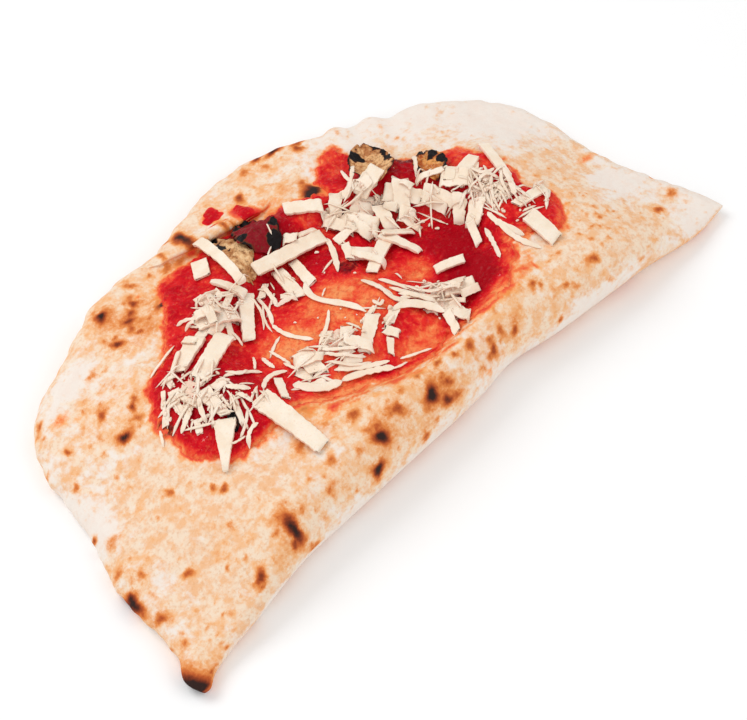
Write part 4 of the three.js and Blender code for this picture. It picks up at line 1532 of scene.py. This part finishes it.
class Cheese:
    """Grated cheese of every size: slabs, chips, shreds, the heaps' cores, and crumbs.

    A row of STRANDS, which are given one by one, is a width followed by the x and y of the points passed over.
    """

    CLEAR: ClassVar[float] = 0.15
    SLABS: ClassVar[tuple[Shaving, ...]] = each(
        Shaving, (-84, 56, 225, 18, 9, 0.75, 2.0), (-60.5, 44, 272, 31, 9.5, 0.25, 2.1),
        (-74.5, 71.5, 82, 15, 6.5, -0.4, 1.6), (-58, 89, 22, 25, 7.5, 0, 2.0),
        (-63, 98, 23, 18, 8, -0.3, 2.0), (-42, 103, 335, 17, 8, 0.2, 2.0), (-31, 97, 48, 24, 6.5, -0.2, 1.9),
        (-27, 112, 288, 15, 5.5, -0.5, 1.8), (-26, 129, 55, 9.5, 7, 0, 1.6),
        (-18.5, 126, 79, 34, 5, -0.2, 1.8), (-7.5, 97, 75, 18, 6, 0.1, 1.7), (0.5, 97, 74, 16, 5, 0.2, 1.6),
        (3.5, 107, 349, 33, 6.2, 0, 2.5), (23, 118, 320, 15, 6, 0, 2.0), (23.5, 85, 320, 12, 7.5, 0.2, 1.8),
        (27, 79, 26, 19, 6, -0.2, 1.9), (38, 78, 282, 19, 5.5, 0.4, 1.8), (36, 98, 300, 14, 8, 0, 2.0),
        (50, 106, 8, 12, 7, 0, 2.0), (57, 93, 305, 15, 8, 0.2, 2.0), (66, 78, 284, 19, 7, 0.2, 2.0),
        (80.5, 80, 14, 17, 8.5, 0.4, 1.9), (94, 75, 66, 24, 4.5, 0, 1.7), (88, 50, 354, 17, 4.6, 0, 1.7),
        (78.5, 36, 268, 15, 8, 0.1, 1.8), (36, 43, 330, 12, 7, -0.3, 1.8), (43, 54.5, 335, 12, 4.2, 0, 1.6),
    )
    HEAPS: ClassVar[tuple[Oval, ...]] = each(
        Oval, (-76, 84, 14, 14), (-38, 106, 14, 10), (-20, 60, 20, 9), (26, 46, 12, 13), (41, 102, 13, 12),
        (77, 66, 14, 15),
    )
    CHIPS: ClassVar[tuple[Shaving, ...]] = each(
        Shaving, (34, 110, 225, 10, 5.8), (56, 93, 227, 10, 7.5), (74, 79, 306, 12, 8.6),
        (69, 89, 323, 11, 2.6), (66, 70, 224, 10, 5.4), (52, 86, 303, 6, 6.9), (42, 82, 327, 13, 4.6),
        (68, 63, 210, 10, 7.4), (61, 57, 243, 10, 3.9), (16, 109, 344, 8, 3.0), (8, 111, 324, 5, 4.7),
        (33, 97, 279, 16, 6.0), (20, 90, 235, 10, 3.7), (22, 80, 296, 14, 3.6), (-16, 103, 30, 7, 2.9),
        (-40, 112, 266, 10, 4.0), (-38, 110, 246, 9, 3.3), (-58, 102, 117, 5, 3.4), (-70, 98, 213, 14, 2.0),
        (-84, 82, 254, 10, 3.6), (-80, 81, 278, 10, 2.6), (-71, 62, 245, 11, 2.7), (-85, 89, 226, 8, 1.9),
        (-50, 59, 239, 13, 3.6), (34, 46, 334, 10, 4.9), (26, 35, 269, 11, 6.7), (20, 33, 245, 11, 3.9),
        (37, 38, 335, 7, 3.8), (6, 52, 206, 7, 4.1), (-15, 58, 218, 9, 5.1), (-7, 53, 212, 17, 5.6),
        (0, 47, 300, 5, 4.3), (-5, 43, 226, 7, 2.8), (-33, 61, 261, 12, 7.6), (-33, 61, 328, 11, 4.7),
        (-14, 52, 299, 11, 4.7), (45, 92, 250, 11, 6.0), (28, 103, 290, 12, 5.5), (-44, 106, 330, 10, 5.0),
        (62, 80, 280, 11, 5.5),
    )
    STRANDS: ClassVar[tuple[tuple[float, ...], ...]] = (
        (1.7, 51, 123, 46, 114, 43, 108), (1.7, 54, 119, 47, 113, 41, 109), (2.5, 70, 58, 68, 48, 71, 39),
        (2.5, 68, 51, 67, 40, 71, 30), (2.1, 65, 55, 61, 47, 56, 39), (2.4, 91, 68, 87, 61, 82, 54),
        (1.6, 82, 78, 83, 72, 89, 71), (1.6, 78, 70, 84, 69, 86, 65), (1.6, 75, 64, 80, 63, 80, 58),
        (1.3, 89, 67, 83, 61, 81, 54), (1.3, 84, 68, 77, 62, 73, 54), (2.1, 77, 106, 71, 99, 66, 94),
        (2.5, 21, 103, 16, 94, 9, 85), (2.2, -15, 104, -16, 99, -18, 93), (2.0, -18, 93, -14, 91, -12, 88),
        (2.8, -3, 92, -7, 79, -3, 69, -1, 60), (1.6, -9, 73, -15, 68, -25, 63),
        (1.2, -23, 104, -24, 98, -31, 88), (1.7, -20, 103, -22, 95, -27, 87),
        (1.9, -27, 87, -28, 78, -24, 67), (1.2, -21, 98, -26, 93, -30, 84), (1.3, -42, 95, -42, 91, -43, 88),
        (1.4, -37, 111, -38, 104, -35, 100), (1.5, -54, 114, -51, 112, -49, 107),
        (1.4, -54, 109, -51, 109, -50, 107), (1.7, -62, 107, -70, 105, -79, 103),
        (2.0, -81, 77, -86, 75, -91, 73), (1.9, -77, 77, -80, 73, -82, 68), (1.9, -63, 78, -57, 76, -48, 72),
        (1.4, -60, 80, -57, 75, -52, 76), (2.3, -66, 74, -64, 70, -60, 66), (1.8, -66, 68, -65, 65, -64, 61),
        (1.6, -69, 53, -73, 53, -78, 49), (1.2, -68, 60, -73, 56, -78, 54), (0.8, -67, 72, -69, 67, -72, 62),
        (0.9, -83, 54, -79, 53, -76, 53), (1.8, -56, 63, -48, 67, -41, 65), (1.2, -44, 81, -47, 77, -49, 75),
        (1.7, -42, 78, -43, 74, -43, 70), (1.2, -94, 82, -96, 79, -98, 76), (1.3, -39, 69, -39, 66, -39, 61),
        (1.3, -38, 78, -38, 72, -38, 66), (3.8, -44, 59, -39, 50, -30, 46), (2.8, -30, 46, -21, 42, -11, 35),
        (2.4, -29, 51, -21, 45, -10, 39), (1.4, -28, 55, -23, 48, -15, 44), (1.4, -26, 59, -22, 52, -15, 47),
        (1.4, -26, 61, -21, 55, -15, 50), (1.3, -12, 35, -8, 34, -5, 34), (1.2, -6, 37, 0, 34, 6, 31),
        (2.4, 11, 74, 12, 67, 14, 59), (2.4, 14, 66, 13, 57, 19, 49, 23, 40), (2.0, 17, 64, 20, 56, 28, 46),
        (2.0, 17, 70, 20, 63, 24, 54), (2.0, 14, 56, 20, 53, 24, 43), (3.0, 7, 53, 13, 52, 19, 46, 22, 38),
        (1.5, 6, 63, 6, 59, 9, 60), (2.0, 22, 60, 25, 52, 30, 46), (2.0, 17, 59, 21, 51, 25, 45),
    )
    SPRINKLES: ClassVar[tuple[Sprinkle, ...]] = each(
        Sprinkle, (-76, 80, 14, 16, 38, 7, 20, 70), (-70, 62, 14, 9, 14, 2, 35, 45),
        (-39, 105, 13, 11, 18, 11, 30, 80), (-18, 56, 26, 10, 18, 10, 155, 50),
        (-10, 97, 12, 10, 6, 3, 80, 50), (27, 46, 9, 13, 14, 9, 115, 50), (38, 100, 14, 12, 14, 18, 60, 90),
        (62, 82, 16, 12, 16, 14, 60, 90), (78, 64, 13, 13, 44, 7, 50, 60), (84, 50, 14, 8, 10, 2, 40, 60),
        (0, 84, 84, 40, 14, 2, 40, 90),
    )
    HEAPED: ClassVar[tuple[int, ...]] = (0, 2, 3, 5, 6, 8)

    def __init__(self, oven: Oven, seed: int = 7) -> None:
        """Takes the oven whose landing field the cheese falls on."""
        self.oven = oven
        self.rng = np.random.default_rng(seed)
        self.material = HardCheese().material()

    def _rest(self, line: Array, across: Array, half_width: Array) -> tuple[Array, Array]:
        """How a stiff strip comes to rest on the landing field.

        Heights are felt at five points across each station. Their mean lean gives the strip's tilt, and the
        upper side of the convex hull of the rest gives the line that it bridges hollows on.

        Args:
            line: Middle line from above, n by 2.
            across: Sideways unit directions, n by 2.
            half_width: Half the strip's width at each station.

        Returns:
            The tilt, and the height of the underside's middle at each station.
        """
        offsets = np.linspace(-1, 1, 5)[:, None] * half_width
        feel = line[None] + offsets[..., None] * across[None]
        heights = self.oven.landing.sample(feel[..., 0], feel[..., 1])
        lean = (heights[-1] - heights[0]).mean() / (2 * half_width.mean() + 1e-6)
        clear = (heights - lean * offsets).max(0)
        return lean, self._tight(clear)

    @staticmethod
    def _tight(heights: Array) -> Array:
        """The tight line over evenly spaced heights: at each station the highest chord that spans it."""
        count = len(heights)
        at = np.arange(count)
        left, right = at[:, None, None], at[None, :, None]
        here = at[None, None, :]
        spans = (left <= here) & (right >= here) & (right > left)
        share = (here - left) / np.maximum(right - left, 1)
        chord = heights[:, None, None] * (1 - share) + heights[None, :, None] * share
        return np.where(spans, chord, -np.inf).max((0, 1))

    def _lay(
        self,
        line: Array,
        half_width: Array,
        half_thick: Array,
        section: Array,
        stiff: float,
        felt: float,
        arch: float = 0.0,
        slip: Union[Array, float] = 0.0,
    ) -> Patch:
        """Lays one bar of cheese on what is there, and raises the landing field by it.

        Args:
            line: Middle line from above, n by 2.
            half_width: Half its width at each station.
            half_thick: Half its thickness at each station.
            section: Outline of its section.
            stiff: 1 for a slab that bridges hollows, towards 0 for a limp shred that follows them.
            felt: How much of its height the next piece feels, less than 1 where pieces bed into each other.
            arch: How far its middle stands up over its ends.
            slip: How far each point is moved along the bar.

        Returns:
            The bar, with its mark soaked, which is pink on its lower side: sauce soaking, and a painted glow standing
            in for light through and bounced off the sauce.
        """
        along = np.gradient(line, axis=0)
        along /= np.linalg.norm(along, axis=1, keepdims=True) + 1e-9
        across = np.stack([-along[:, 1], along[:, 0]], -1)
        lean, bridge = self._rest(line, across, half_width)
        ground = self.oven.landing.sample(line[:, 0], line[:, 1])
        under = stiff * bridge + (1 - stiff) * np.convolve(np.pad(ground, 1, mode="edge"), [0.25, 0.5, 0.25], "valid")
        rise = arch * np.sin(np.linspace(0, np.pi, len(line)))
        path = np.column_stack([line, under + rise + half_thick + self.CLEAR])
        side = np.column_stack([across, np.full(len(line), lean)])
        side /= np.linalg.norm(side, axis=1, keepdims=True)
        bar = swept_bar(path, side, half_width, half_thick, section, slip)
        stations = np.linspace(0, len(line) - 1, 4 * len(line))
        dense = [np.interp(stations, np.arange(len(line)), c) for c in (*path.T, half_width, half_thick)]
        offsets = np.linspace(-1, 1, 13)[:, None] * dense[3]
        turn = [np.interp(stations, np.arange(len(line)), c) for c in across.T]
        top = dense[2] + dense[4] * (2 * felt - 1) + lean * offsets
        self.oven.landing.raise_to(dense[0] + offsets * turn[0], dense[1] + offsets * turn[1], top)
        # Partly painted light: the lower side of every bar is marked soaked, for sauce soaking and as a painted pink
        # glow in place of light through the cheese and bounced up from the sauce.
        low = np.append(np.tile(0.6 * smooth(-0.2 - section[:, 1]), len(line)), [0.3, 0.3])
        bar.marks["soaked"] = low + 0.22 * (1 - stiff) * self.rng.random()
        return bar

    def slab(self, shaving: Shaving, stations: int = 48, corners: int = 28, torn: float = 1.0) -> Patch:
        """A large shaving: a boxy bar with a taper, ragged sides, slanting broken ends and scored faces.

        Args:
            shaving: Its place and sizes.
            stations: How many sections it has along its length.
            corners: How many points each section has.
            torn: How ragged its outline is, 1 for a clean slab.

        Returns:
            The slab.
        """
        even = np.linspace(0, 1, stations)
        s = even - 0.12 * np.sin(2 * np.pi * even)
        heading = math.radians(shaving.heading)
        along = np.array([math.cos(heading), math.sin(heading)])
        across = np.array([-along[1], along[0]])
        bend = self.rng.uniform(-0.016, 0.016) * shaving.length
        line = np.array([shaving.x, shaving.y]) + (s - 0.5)[:, None] * shaving.length * along
        line = line + (bend * (1 - (2 * s - 1) ** 2))[:, None] * across
        seed = int(self.rng.integers(1 << 30))
        section = round_section(corners, 9.0)
        narrow = 1 - np.maximum(shaving.taper * s, -shaving.taper * (1 - s))
        ragged = 1 + 0.10 * torn * Ripple(2.6, seed, 3)(s * shaving.length, 0 * s)
        ends = quarter_round(np.minimum(s, 1 - s) * shaving.length / 0.5 + 0.5)
        half_width = 0.5 * shaving.width * narrow * ragged * ends
        half_thick = 0.40 * shaving.thick * ends * (1 + 0.14 * Ripple(5, seed + 9)(s * shaving.length, 0 * s))
        slant = self.rng.uniform(-0.3, 0.3) * torn * section[:, 0] * 0.5 * shaving.width
        broken = Ripple(1.6, seed + 2, 2)(section[:, 0] * shaving.width, 3 * section[:, 1])
        broken *= 0.16 * torn * shaving.width
        slip = slant + np.abs(broken) * ((2 * s - 1) * np.abs(2 * s - 1) ** 5)[:, None]
        bar = self._lay(line, half_width, half_thick, section, 1.0, 1.0, 0.0, slip)
        scores = 0.10 * Ripple(1.1, seed + 5, 2)(section[:, 0] * 0.5 * shaving.width, 0 * section[:, 0])
        bar.points[: stations * len(section), 2] += np.tile(scores, stations)
        return self._roughened(bar, seed)

    def _roughened(self, bar: Patch, seed: int) -> Patch:
        """The bar with its skin pushed in and out by ripples read on slanting planes through it."""
        x, y, z = bar.points.T
        push = 0.14 * Ripple(2.4, seed, 2)(x + 0.7 * z, y - 0.6 * z)
        push += 0.05 * Ripple(0.9, seed + 3)(x - z, y + z)
        bar.points[:, 2] += push
        bar.points[:, 0] += 0.8 * np.roll(push, 7)
        return bar

    def shred(self, line: Array, width: float, corners: int = 8) -> Patch:
        """A fine shred: a thin flat bar, narrower at its ends, that follows what it lies on."""
        count = len(line)
        s = np.linspace(0, 1, count)
        fade = 0.2 + 0.8 * quarter_round(np.minimum(s, 1 - s) * self.rng.uniform(2.5, 6))
        half_width = 0.5 * width * fade * self.rng.uniform(0.75, 1.2, count)
        half_thick = np.full(count, 0.5 * min(0.2 + width * 0.13, 0.6)) * fade
        arch = 0.7 * self.rng.random() ** 3
        return self._lay(line, half_width, half_thick, round_section(corners, 4.5), 0.7, 0.4, arch)

    @staticmethod
    def _drawn(points: Array, count: int) -> Array:
        """A smooth line through a few points: a polynomial in the distance, up to the third power."""
        t = np.append(0, np.cumsum(np.hypot(*np.diff(points, axis=0).T)))
        t /= t[-1]
        power = min(len(points) - 1, 3)
        at = np.linspace(0, 1, count)
        return np.stack([np.polyval(np.polyfit(t, p, power), at) for p in points.T], -1)

    def _arc(self, x: float, y: float, heading: float, length: float, curl: float, count: int) -> Array:
        """A line of a length round a point that turns evenly from its heading by a curl in radians."""
        s = np.linspace(-0.5, 0.5, count)
        turn = math.radians(heading) + curl * s
        step = length / (count - 1) * np.stack([np.cos(turn), np.sin(turn)], -1)
        line = np.cumsum(step, 0)
        return line - line.mean(0) + (x, y)

    def _fallen(self, area: Sprinkle) -> tuple[float, float, float]:
        """A random place and heading inside a sprinkled area, denser towards its middle."""
        turn = self.rng.uniform(0, 2 * np.pi)
        out = self.rng.random() ** 0.62
        heading = area.heading + area.spread * self.rng.uniform(-1, 1)
        return (
            area.x + area.half_length * out * math.cos(turn),
            area.y + area.half_width * out * math.sin(turn),
            heading,
        )

    def _chip(self, area: Sprinkle) -> Patch:
        """A short flat grating that fell in a sprinkled area: a bar of a few flat faces with a slanting
        end.
        """
        x, y, heading = self._fallen(area)
        length = self.rng.uniform(4.5, 10.5)
        width = self.rng.uniform(2.0, 5.2)
        line = self._arc(x, y, heading, length, self.rng.uniform(-0.3, 0.3), 6)
        s = np.linspace(0, 1, len(line))
        ragged = self.rng.uniform(0.82, 1.1, len(line))
        half_width = 0.5 * width * ragged * (1 - self.rng.uniform(0, 0.45) * s)
        half_thick = np.full(len(line), 0.5 * self.rng.uniform(0.35, 0.7))
        section = round_section(10, 5.0)
        slip = self.rng.uniform(-0.6, 0.6) * section[:, 0] * 0.5 * width + self.rng.uniform(-0.35, 0.35, len(section))
        return self._lay(line, half_width, half_thick, section, 0.8, 0.4, 0.0, slip)

    def _loose_shred(self, area: Sprinkle) -> Patch:
        """A fine shred that fell in a sprinkled area."""
        x, y, heading = self._fallen(area)
        length = 4 + 10 * self.rng.random() ** 1.4
        curl = self.rng.normal(0, 0.09)
        return self.shred(self._arc(x, y, heading, length, curl, 6), self.rng.uniform(0.6, 1.4), 6)

    def _core(self, oval: Oval, rings: int = 10, spokes: int = 60) -> Patch:
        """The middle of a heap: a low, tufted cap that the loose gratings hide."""
        turn = 2 * np.pi * np.arange(spokes) / spokes
        uneven = 0.42 * (1 + 0.18 * np.sin(3 * turn + oval.x) + 0.12 * np.sin(5 * turn + oval.y))
        rim = np.stack([oval.half_length * uneven * np.cos(turn), oval.half_width * uneven * np.sin(turn)], -1)
        share = np.linspace(0, 1, rings + 1)[1:]
        x, y = disc((oval.x, oval.y), rim, share).T
        away = np.append(np.repeat(share, spokes), 0.0)
        ground = self.oven.landing.sample(x, y)
        tufts = 1 + 0.5 * Ripple(2.4, 77, 2)(x, y)
        top = np.column_stack([x, y, ground - 0.4 + 0.6 * tufts * quarter_round((1 - away) * 2)])
        under = np.column_stack([x, y, ground - 0.9])
        marks = {"soaked": np.full(2 * len(x), 0.22)}
        return Patch(np.concatenate([top, under]), *cap_faces(rings, spokes, rings), marks)

    def _crumb(self, area: Sprinkle) -> Patch:
        """A crumb: a bar hardly longer than it is wide."""
        x, y, heading = self._fallen(area)
        size = self.rng.uniform(0.5, 1.3)
        line = self._arc(x, y, heading, size * 1.4, 0.0, 4)
        half = 0.5 * size * np.array([0.55, 1.0, 0.9, 0.5]) * self.rng.uniform(0.8, 1.2, 4)
        return self._lay(line, half, half * 0.8, round_section(6, 1.4), 0.2, 0.3)

    def serve(self) -> None:
        """Lays the heaps' cores, then slabs, chips, shreds and crumbs, in the order in which they fell."""
        for n, (oval, heaped) in enumerate(zip(self.HEAPS, self.HEAPED), 1):
            area = self.SPRINKLES[heaped]
            chips = [self._chip(area) for _ in range(area.chips)]
            patch = Patch.joined([self._core(oval), *chips])
            self.oven.serve(f"cheese_heap_{n}", patch, self.material, Slot.CHEESE, f"grated_cheese_{n}")
        for n, shaving in enumerate(self.SLABS, 1):
            node = f"cheese_shaving_{n:02d}"
            self.oven.serve(f"cheese_slab_{n:02d}", self.slab(shaving), self.material, Slot.CHEESE, node)
        chips = [self.slab(chip, 24, 18, 2.0) for chip in self.CHIPS]
        chips += [self._chip(area) for area in self.SPRINKLES for _ in range(area.chips // 3)]
        self.oven.serve("cheese_chips", Patch.joined(chips), self.material, Slot.CHEESE)
        loose = [self._loose_shred(area) for area in self.SPRINKLES for _ in range(area.shreds)]
        self.oven.serve("loose_shreds", Patch.joined(loose), self.material, Slot.CHEESE)
        drawn = [self.shred(self._drawn(np.reshape(route, (-1, 2)), 14), width) for width, *route in self.STRANDS]
        self.oven.serve("long_shreds", Patch.joined(drawn), self.material, Slot.CHEESE)
        crumbs = [self._crumb(area) for area in self.SPRINKLES for _ in range(area.shreds)]
        self.oven.serve("cheese_crumbs", Patch.joined(crumbs), self.material, Slot.CHEESE)


# ---- basil ----


@dataclass(frozen=True)
class Leaf:
    """A basil leaf.

    Attributes:
        x: Dough x of its middle in mm.
        y: Dough y of its middle in mm.
        heading: Direction of its tip in degrees from +x.
        length: Length in mm.
        width: Greatest width in mm.
        arch: How far its middle stands over its edges in mm, or under them where below 0.
        char: How charred it is all over.
        green: 1 where it dried olive, 0 where it dried rusty.
        sauced: How much sauce covers it.
        burns: Middles and radii of its blackest places.
    """

    x: float
    y: float
    heading: float
    length: float
    width: float
    arch: float
    char: float
    green: float
    sauced: float
    burns: tuple[tuple[float, float, float], ...]


class Basil:
    """Basil leaves that the oven dried, curled and charred."""

    LEAVES: ClassVar[tuple[Leaf, ...]] = (
        Leaf(-13, 125, 78, 34, 13, 1.8, 0.0, 0.5, 0.0, ((-15, 129.5, 2.6), (-11.5, 138.5, 2.4), (-6, 141, 2.0))),
        Leaf(
            1, 124, 80, 26, 18, 2.0, 0.10, 0.1, 0.95,
            ((5.5, 136, 3.4), (9.5, 129, 2.4), (8, 120, 2.4), (3, 114.6, 3.2), (-6.5, 124, 2.2), (-1, 134, 2.4)),
        ),
        Leaf(
            59.5, 115, 58, 27, 18, -3.6, 0.0, 0.4, 0.0,
            ((59, 122, 2.6), (53, 123, 2.0), (69.5, 120, 1.5), (69, 115, 1.5), (67, 110, 2.2)),
        ),
        Leaf(
            75, 94, 58, 20, 13, -1.8, 0.24, 0.0, 0.15,
            ((77, 103, 2.0), (80.5, 98, 2.2), (80, 92, 2.2), (76, 86, 2.2), (69, 97, 1.6), (67, 91, 2.0)),
        ),
        Leaf(-74.5, 61, 60, 10, 4, 0.5, 0.60, 0.5, 0.0, ((-74, 63, 3.0),)),
    )
    THICK: ClassVar[float] = 0.4

    def __init__(self, oven: Oven) -> None:
        """Takes the oven whose landing field the leaves lie on."""
        self.oven = oven

    def leaf(self, leaf: Leaf, seed: int, columns: int = 84, rows: int = 44) -> Patch:
        """One leaf as a closed thin sheet.

        Its half-width is a power of the sine of the distance along it, torn by ripples. Across, it arches as
        one minus the square. It dips at its middle vein, and is creased by one minus the size of ripples,
        which gives sharp folds.

        Args:
            leaf: Its place and sizes.
            seed: Start of its random crumpling.
            columns: Cells along it.
            rows: Cells across it.

        Returns:
            The leaf with its marks char, green and sauced.
        """
        s, t = np.meshgrid(np.linspace(0.01, 0.99, columns + 1), np.linspace(-1, 1, rows + 1), indexing="ij")
        half_width = leaf.width * (0.03 + 0.49 * np.sin(np.pi * s**0.85) ** 0.7)
        torn = 0.16 * Ripple(4.5, seed, 3)(s * leaf.length, 30 * np.sign(t))
        along = (s - 0.5) * leaf.length * (1 + 0.10 * Ripple(0.5, seed + 1)(t, 0 * t))
        across = t * half_width * (1 + torn * np.abs(t))
        heading = math.radians(leaf.heading)
        x = leaf.x + along * math.cos(heading) - across * math.sin(heading)
        y = leaf.y + along * math.sin(heading) + across * math.cos(heading)
        ground = self.oven.landing.sample(x, y)
        ground = 0.5 * ground + 0.5 * ground.mean(1, keepdims=True)
        arch = leaf.arch * np.sin(np.pi * s) * (1 - t * t) - min(leaf.arch, 0.0)
        creases = 1.2 * (1 - np.abs(Ripple(5.2, seed + 4)(x, y))) + 0.5 * (1 - np.abs(Ripple(2.3, seed + 5)(x, y)))
        creases *= 1 + leaf.sauced
        vein = 0.6 * gauss(t * half_width / 0.7)
        z = ground + arch + creases * (0.6 + 0.5 * np.abs(t)) - vein - 0.6
        z = np.maximum(z, self.oven.landing.sample(x, y) + 0.2)
        index = np.arange(x.size).reshape(x.shape)
        low = index + x.size
        top = np.stack([x, y, z + self.THICK], -1).reshape(-1, 3)
        under = np.stack([x, y, z], -1).reshape(-1, 3)
        rim = band_quads(box_edge(index), box_edge(low))
        quads = np.concatenate([grid_quads(index), grid_quads(low)[:, ::-1], rim])
        edge = np.maximum(np.abs(t) ** 5, np.abs(2 * s - 1) ** 8)
        char = leaf.char + 0.85 * edge * smooth(Ripple(5, seed + 8)(x, y) + 0.6)
        stray = 1 + 0.5 * Ripple(2.8, seed + 9, 2)(x, y)
        for burn_x, burn_y, radius in leaf.burns:
            char = np.maximum(char, 0.9 * smooth(1.7 - stray * np.hypot(x - burn_x, y - burn_y) / radius))
        self.oven.landing.raise_to(x, y, z + self.THICK)
        marks = {"char": char, "green": np.full(x.shape, leaf.green), "sauced": np.full(x.shape, leaf.sauced)}
        return Patch(np.concatenate([top, under]), quads, marks={k: np.tile(m.ravel(), 2) for k, m in marks.items()})

    def serve(self) -> None:
        """Lays the leaves."""
        material = CharredBasil().material()
        for n, leaf in enumerate(self.LEAVES, 1):
            self.oven.serve(f"basil_{n}", self.leaf(leaf, 100 * n), material, Slot.BASIL, f"basil_leaf_{n}")


# ---- table, light and camera ----


@dataclass
class Studio:
    """A pale table, soft light from above and behind, and the camera."""

    oven: Oven
    azimuth: float = -47.16
    elevation: float = 55.0
    distance: float = 900.0
    target: tuple[float, float, float] = (-11.11, 46.58, 20.0)
    sensor: float = 36.0
    frame_width: int = 747
    focal_pixels: float = 2268.8
    table_side: float = 6.0
    sky: float = 0.63
    key_power: float = 5.9
    fill_power: float = 2.4
    front_power: float = 3.4

    def camera(self) -> None:
        """Stands the camera at its azimuth and elevation round the target, upright."""
        turn, tip = math.radians(self.azimuth), math.radians(self.elevation)
        back = Vector((math.sin(turn) * math.cos(tip), -math.cos(turn) * math.cos(tip), math.sin(tip)))
        data = bpy.data.cameras.new("camera")
        data.sensor_width = self.sensor
        data.lens = self.focal_pixels * self.sensor / self.frame_width
        data.clip_start = 0.01
        camera = bpy.data.objects.new("camera", data)
        bpy.context.scene.collection.objects.link(camera)
        target = Vector(self.oven.place(np.array(self.target)))
        camera.matrix_world = Matrix.Translation(target + back * self.distance * MM) @ (
            back.to_track_quat("Z", "Y").to_matrix().to_4x4()
        )
        bpy.context.scene.camera = camera

    def _lamp(self, name: str, place: tuple[float, float, float], size: float, power: float) -> None:
        """An area light of a size in metres that faces the origin."""
        data = bpy.data.lights.new(name, "AREA")
        data.size = size
        data.energy = power
        lamp = bpy.data.objects.new(name, data)
        bpy.context.scene.collection.objects.link(lamp)
        at = Vector(place)
        lamp.matrix_world = Matrix.Translation(at) @ at.to_track_quat("Z", "Y").to_matrix().to_4x4()

    def serve(self) -> None:
        """Makes the table, the lights, the even sky and the camera."""
        half = self.table_side / 2
        corners = [(-half, -half, 0), (half, -half, 0), (half, half, 0), (-half, half, 0)]
        mesh = bpy.data.meshes.new("table")
        mesh.from_pydata(corners, [], [(0, 1, 2, 3)])
        mesh.materials.append(PaleTable().material())
        table = bpy.data.objects.new("table", mesh)
        bpy.context.scene.collection.objects.link(table)
        self._lamp("key", (-0.25, 0.75, 0.95), 0.7, self.key_power)
        self._lamp("fill", (-0.9, -0.5, 0.8), 1.2, self.fill_power)
        self._lamp("front", (0.5, -0.9, 0.8), 1.0, self.front_power)
        world = bpy.data.worlds.new("sky")
        world.use_nodes = True
        world.node_tree.nodes["Background"].inputs["Strength"].default_value = self.sky
        world.node_tree.nodes["Background"].inputs["Color"].default_value = (1.0, 1.0, 1.0, 1.0)
        bpy.context.scene.world = world
        bpy.context.scene.view_settings.view_transform = "Standard"
        self.camera()


def main() -> None:
    """Builds the calzone from the dough up, then the studio."""
    logging.basicConfig(level=logging.INFO, format="%(name)s: %(message)s")
    form = DoughForm()
    oven = Oven(form)
    crust = Crust(form, oven)
    crust.serve()
    TomatoSauce(oven, crust).serve()
    Basil(oven).serve()
    Cheese(oven).serve()
    Studio(oven).serve()


if __name__ == "__main__":
    main()
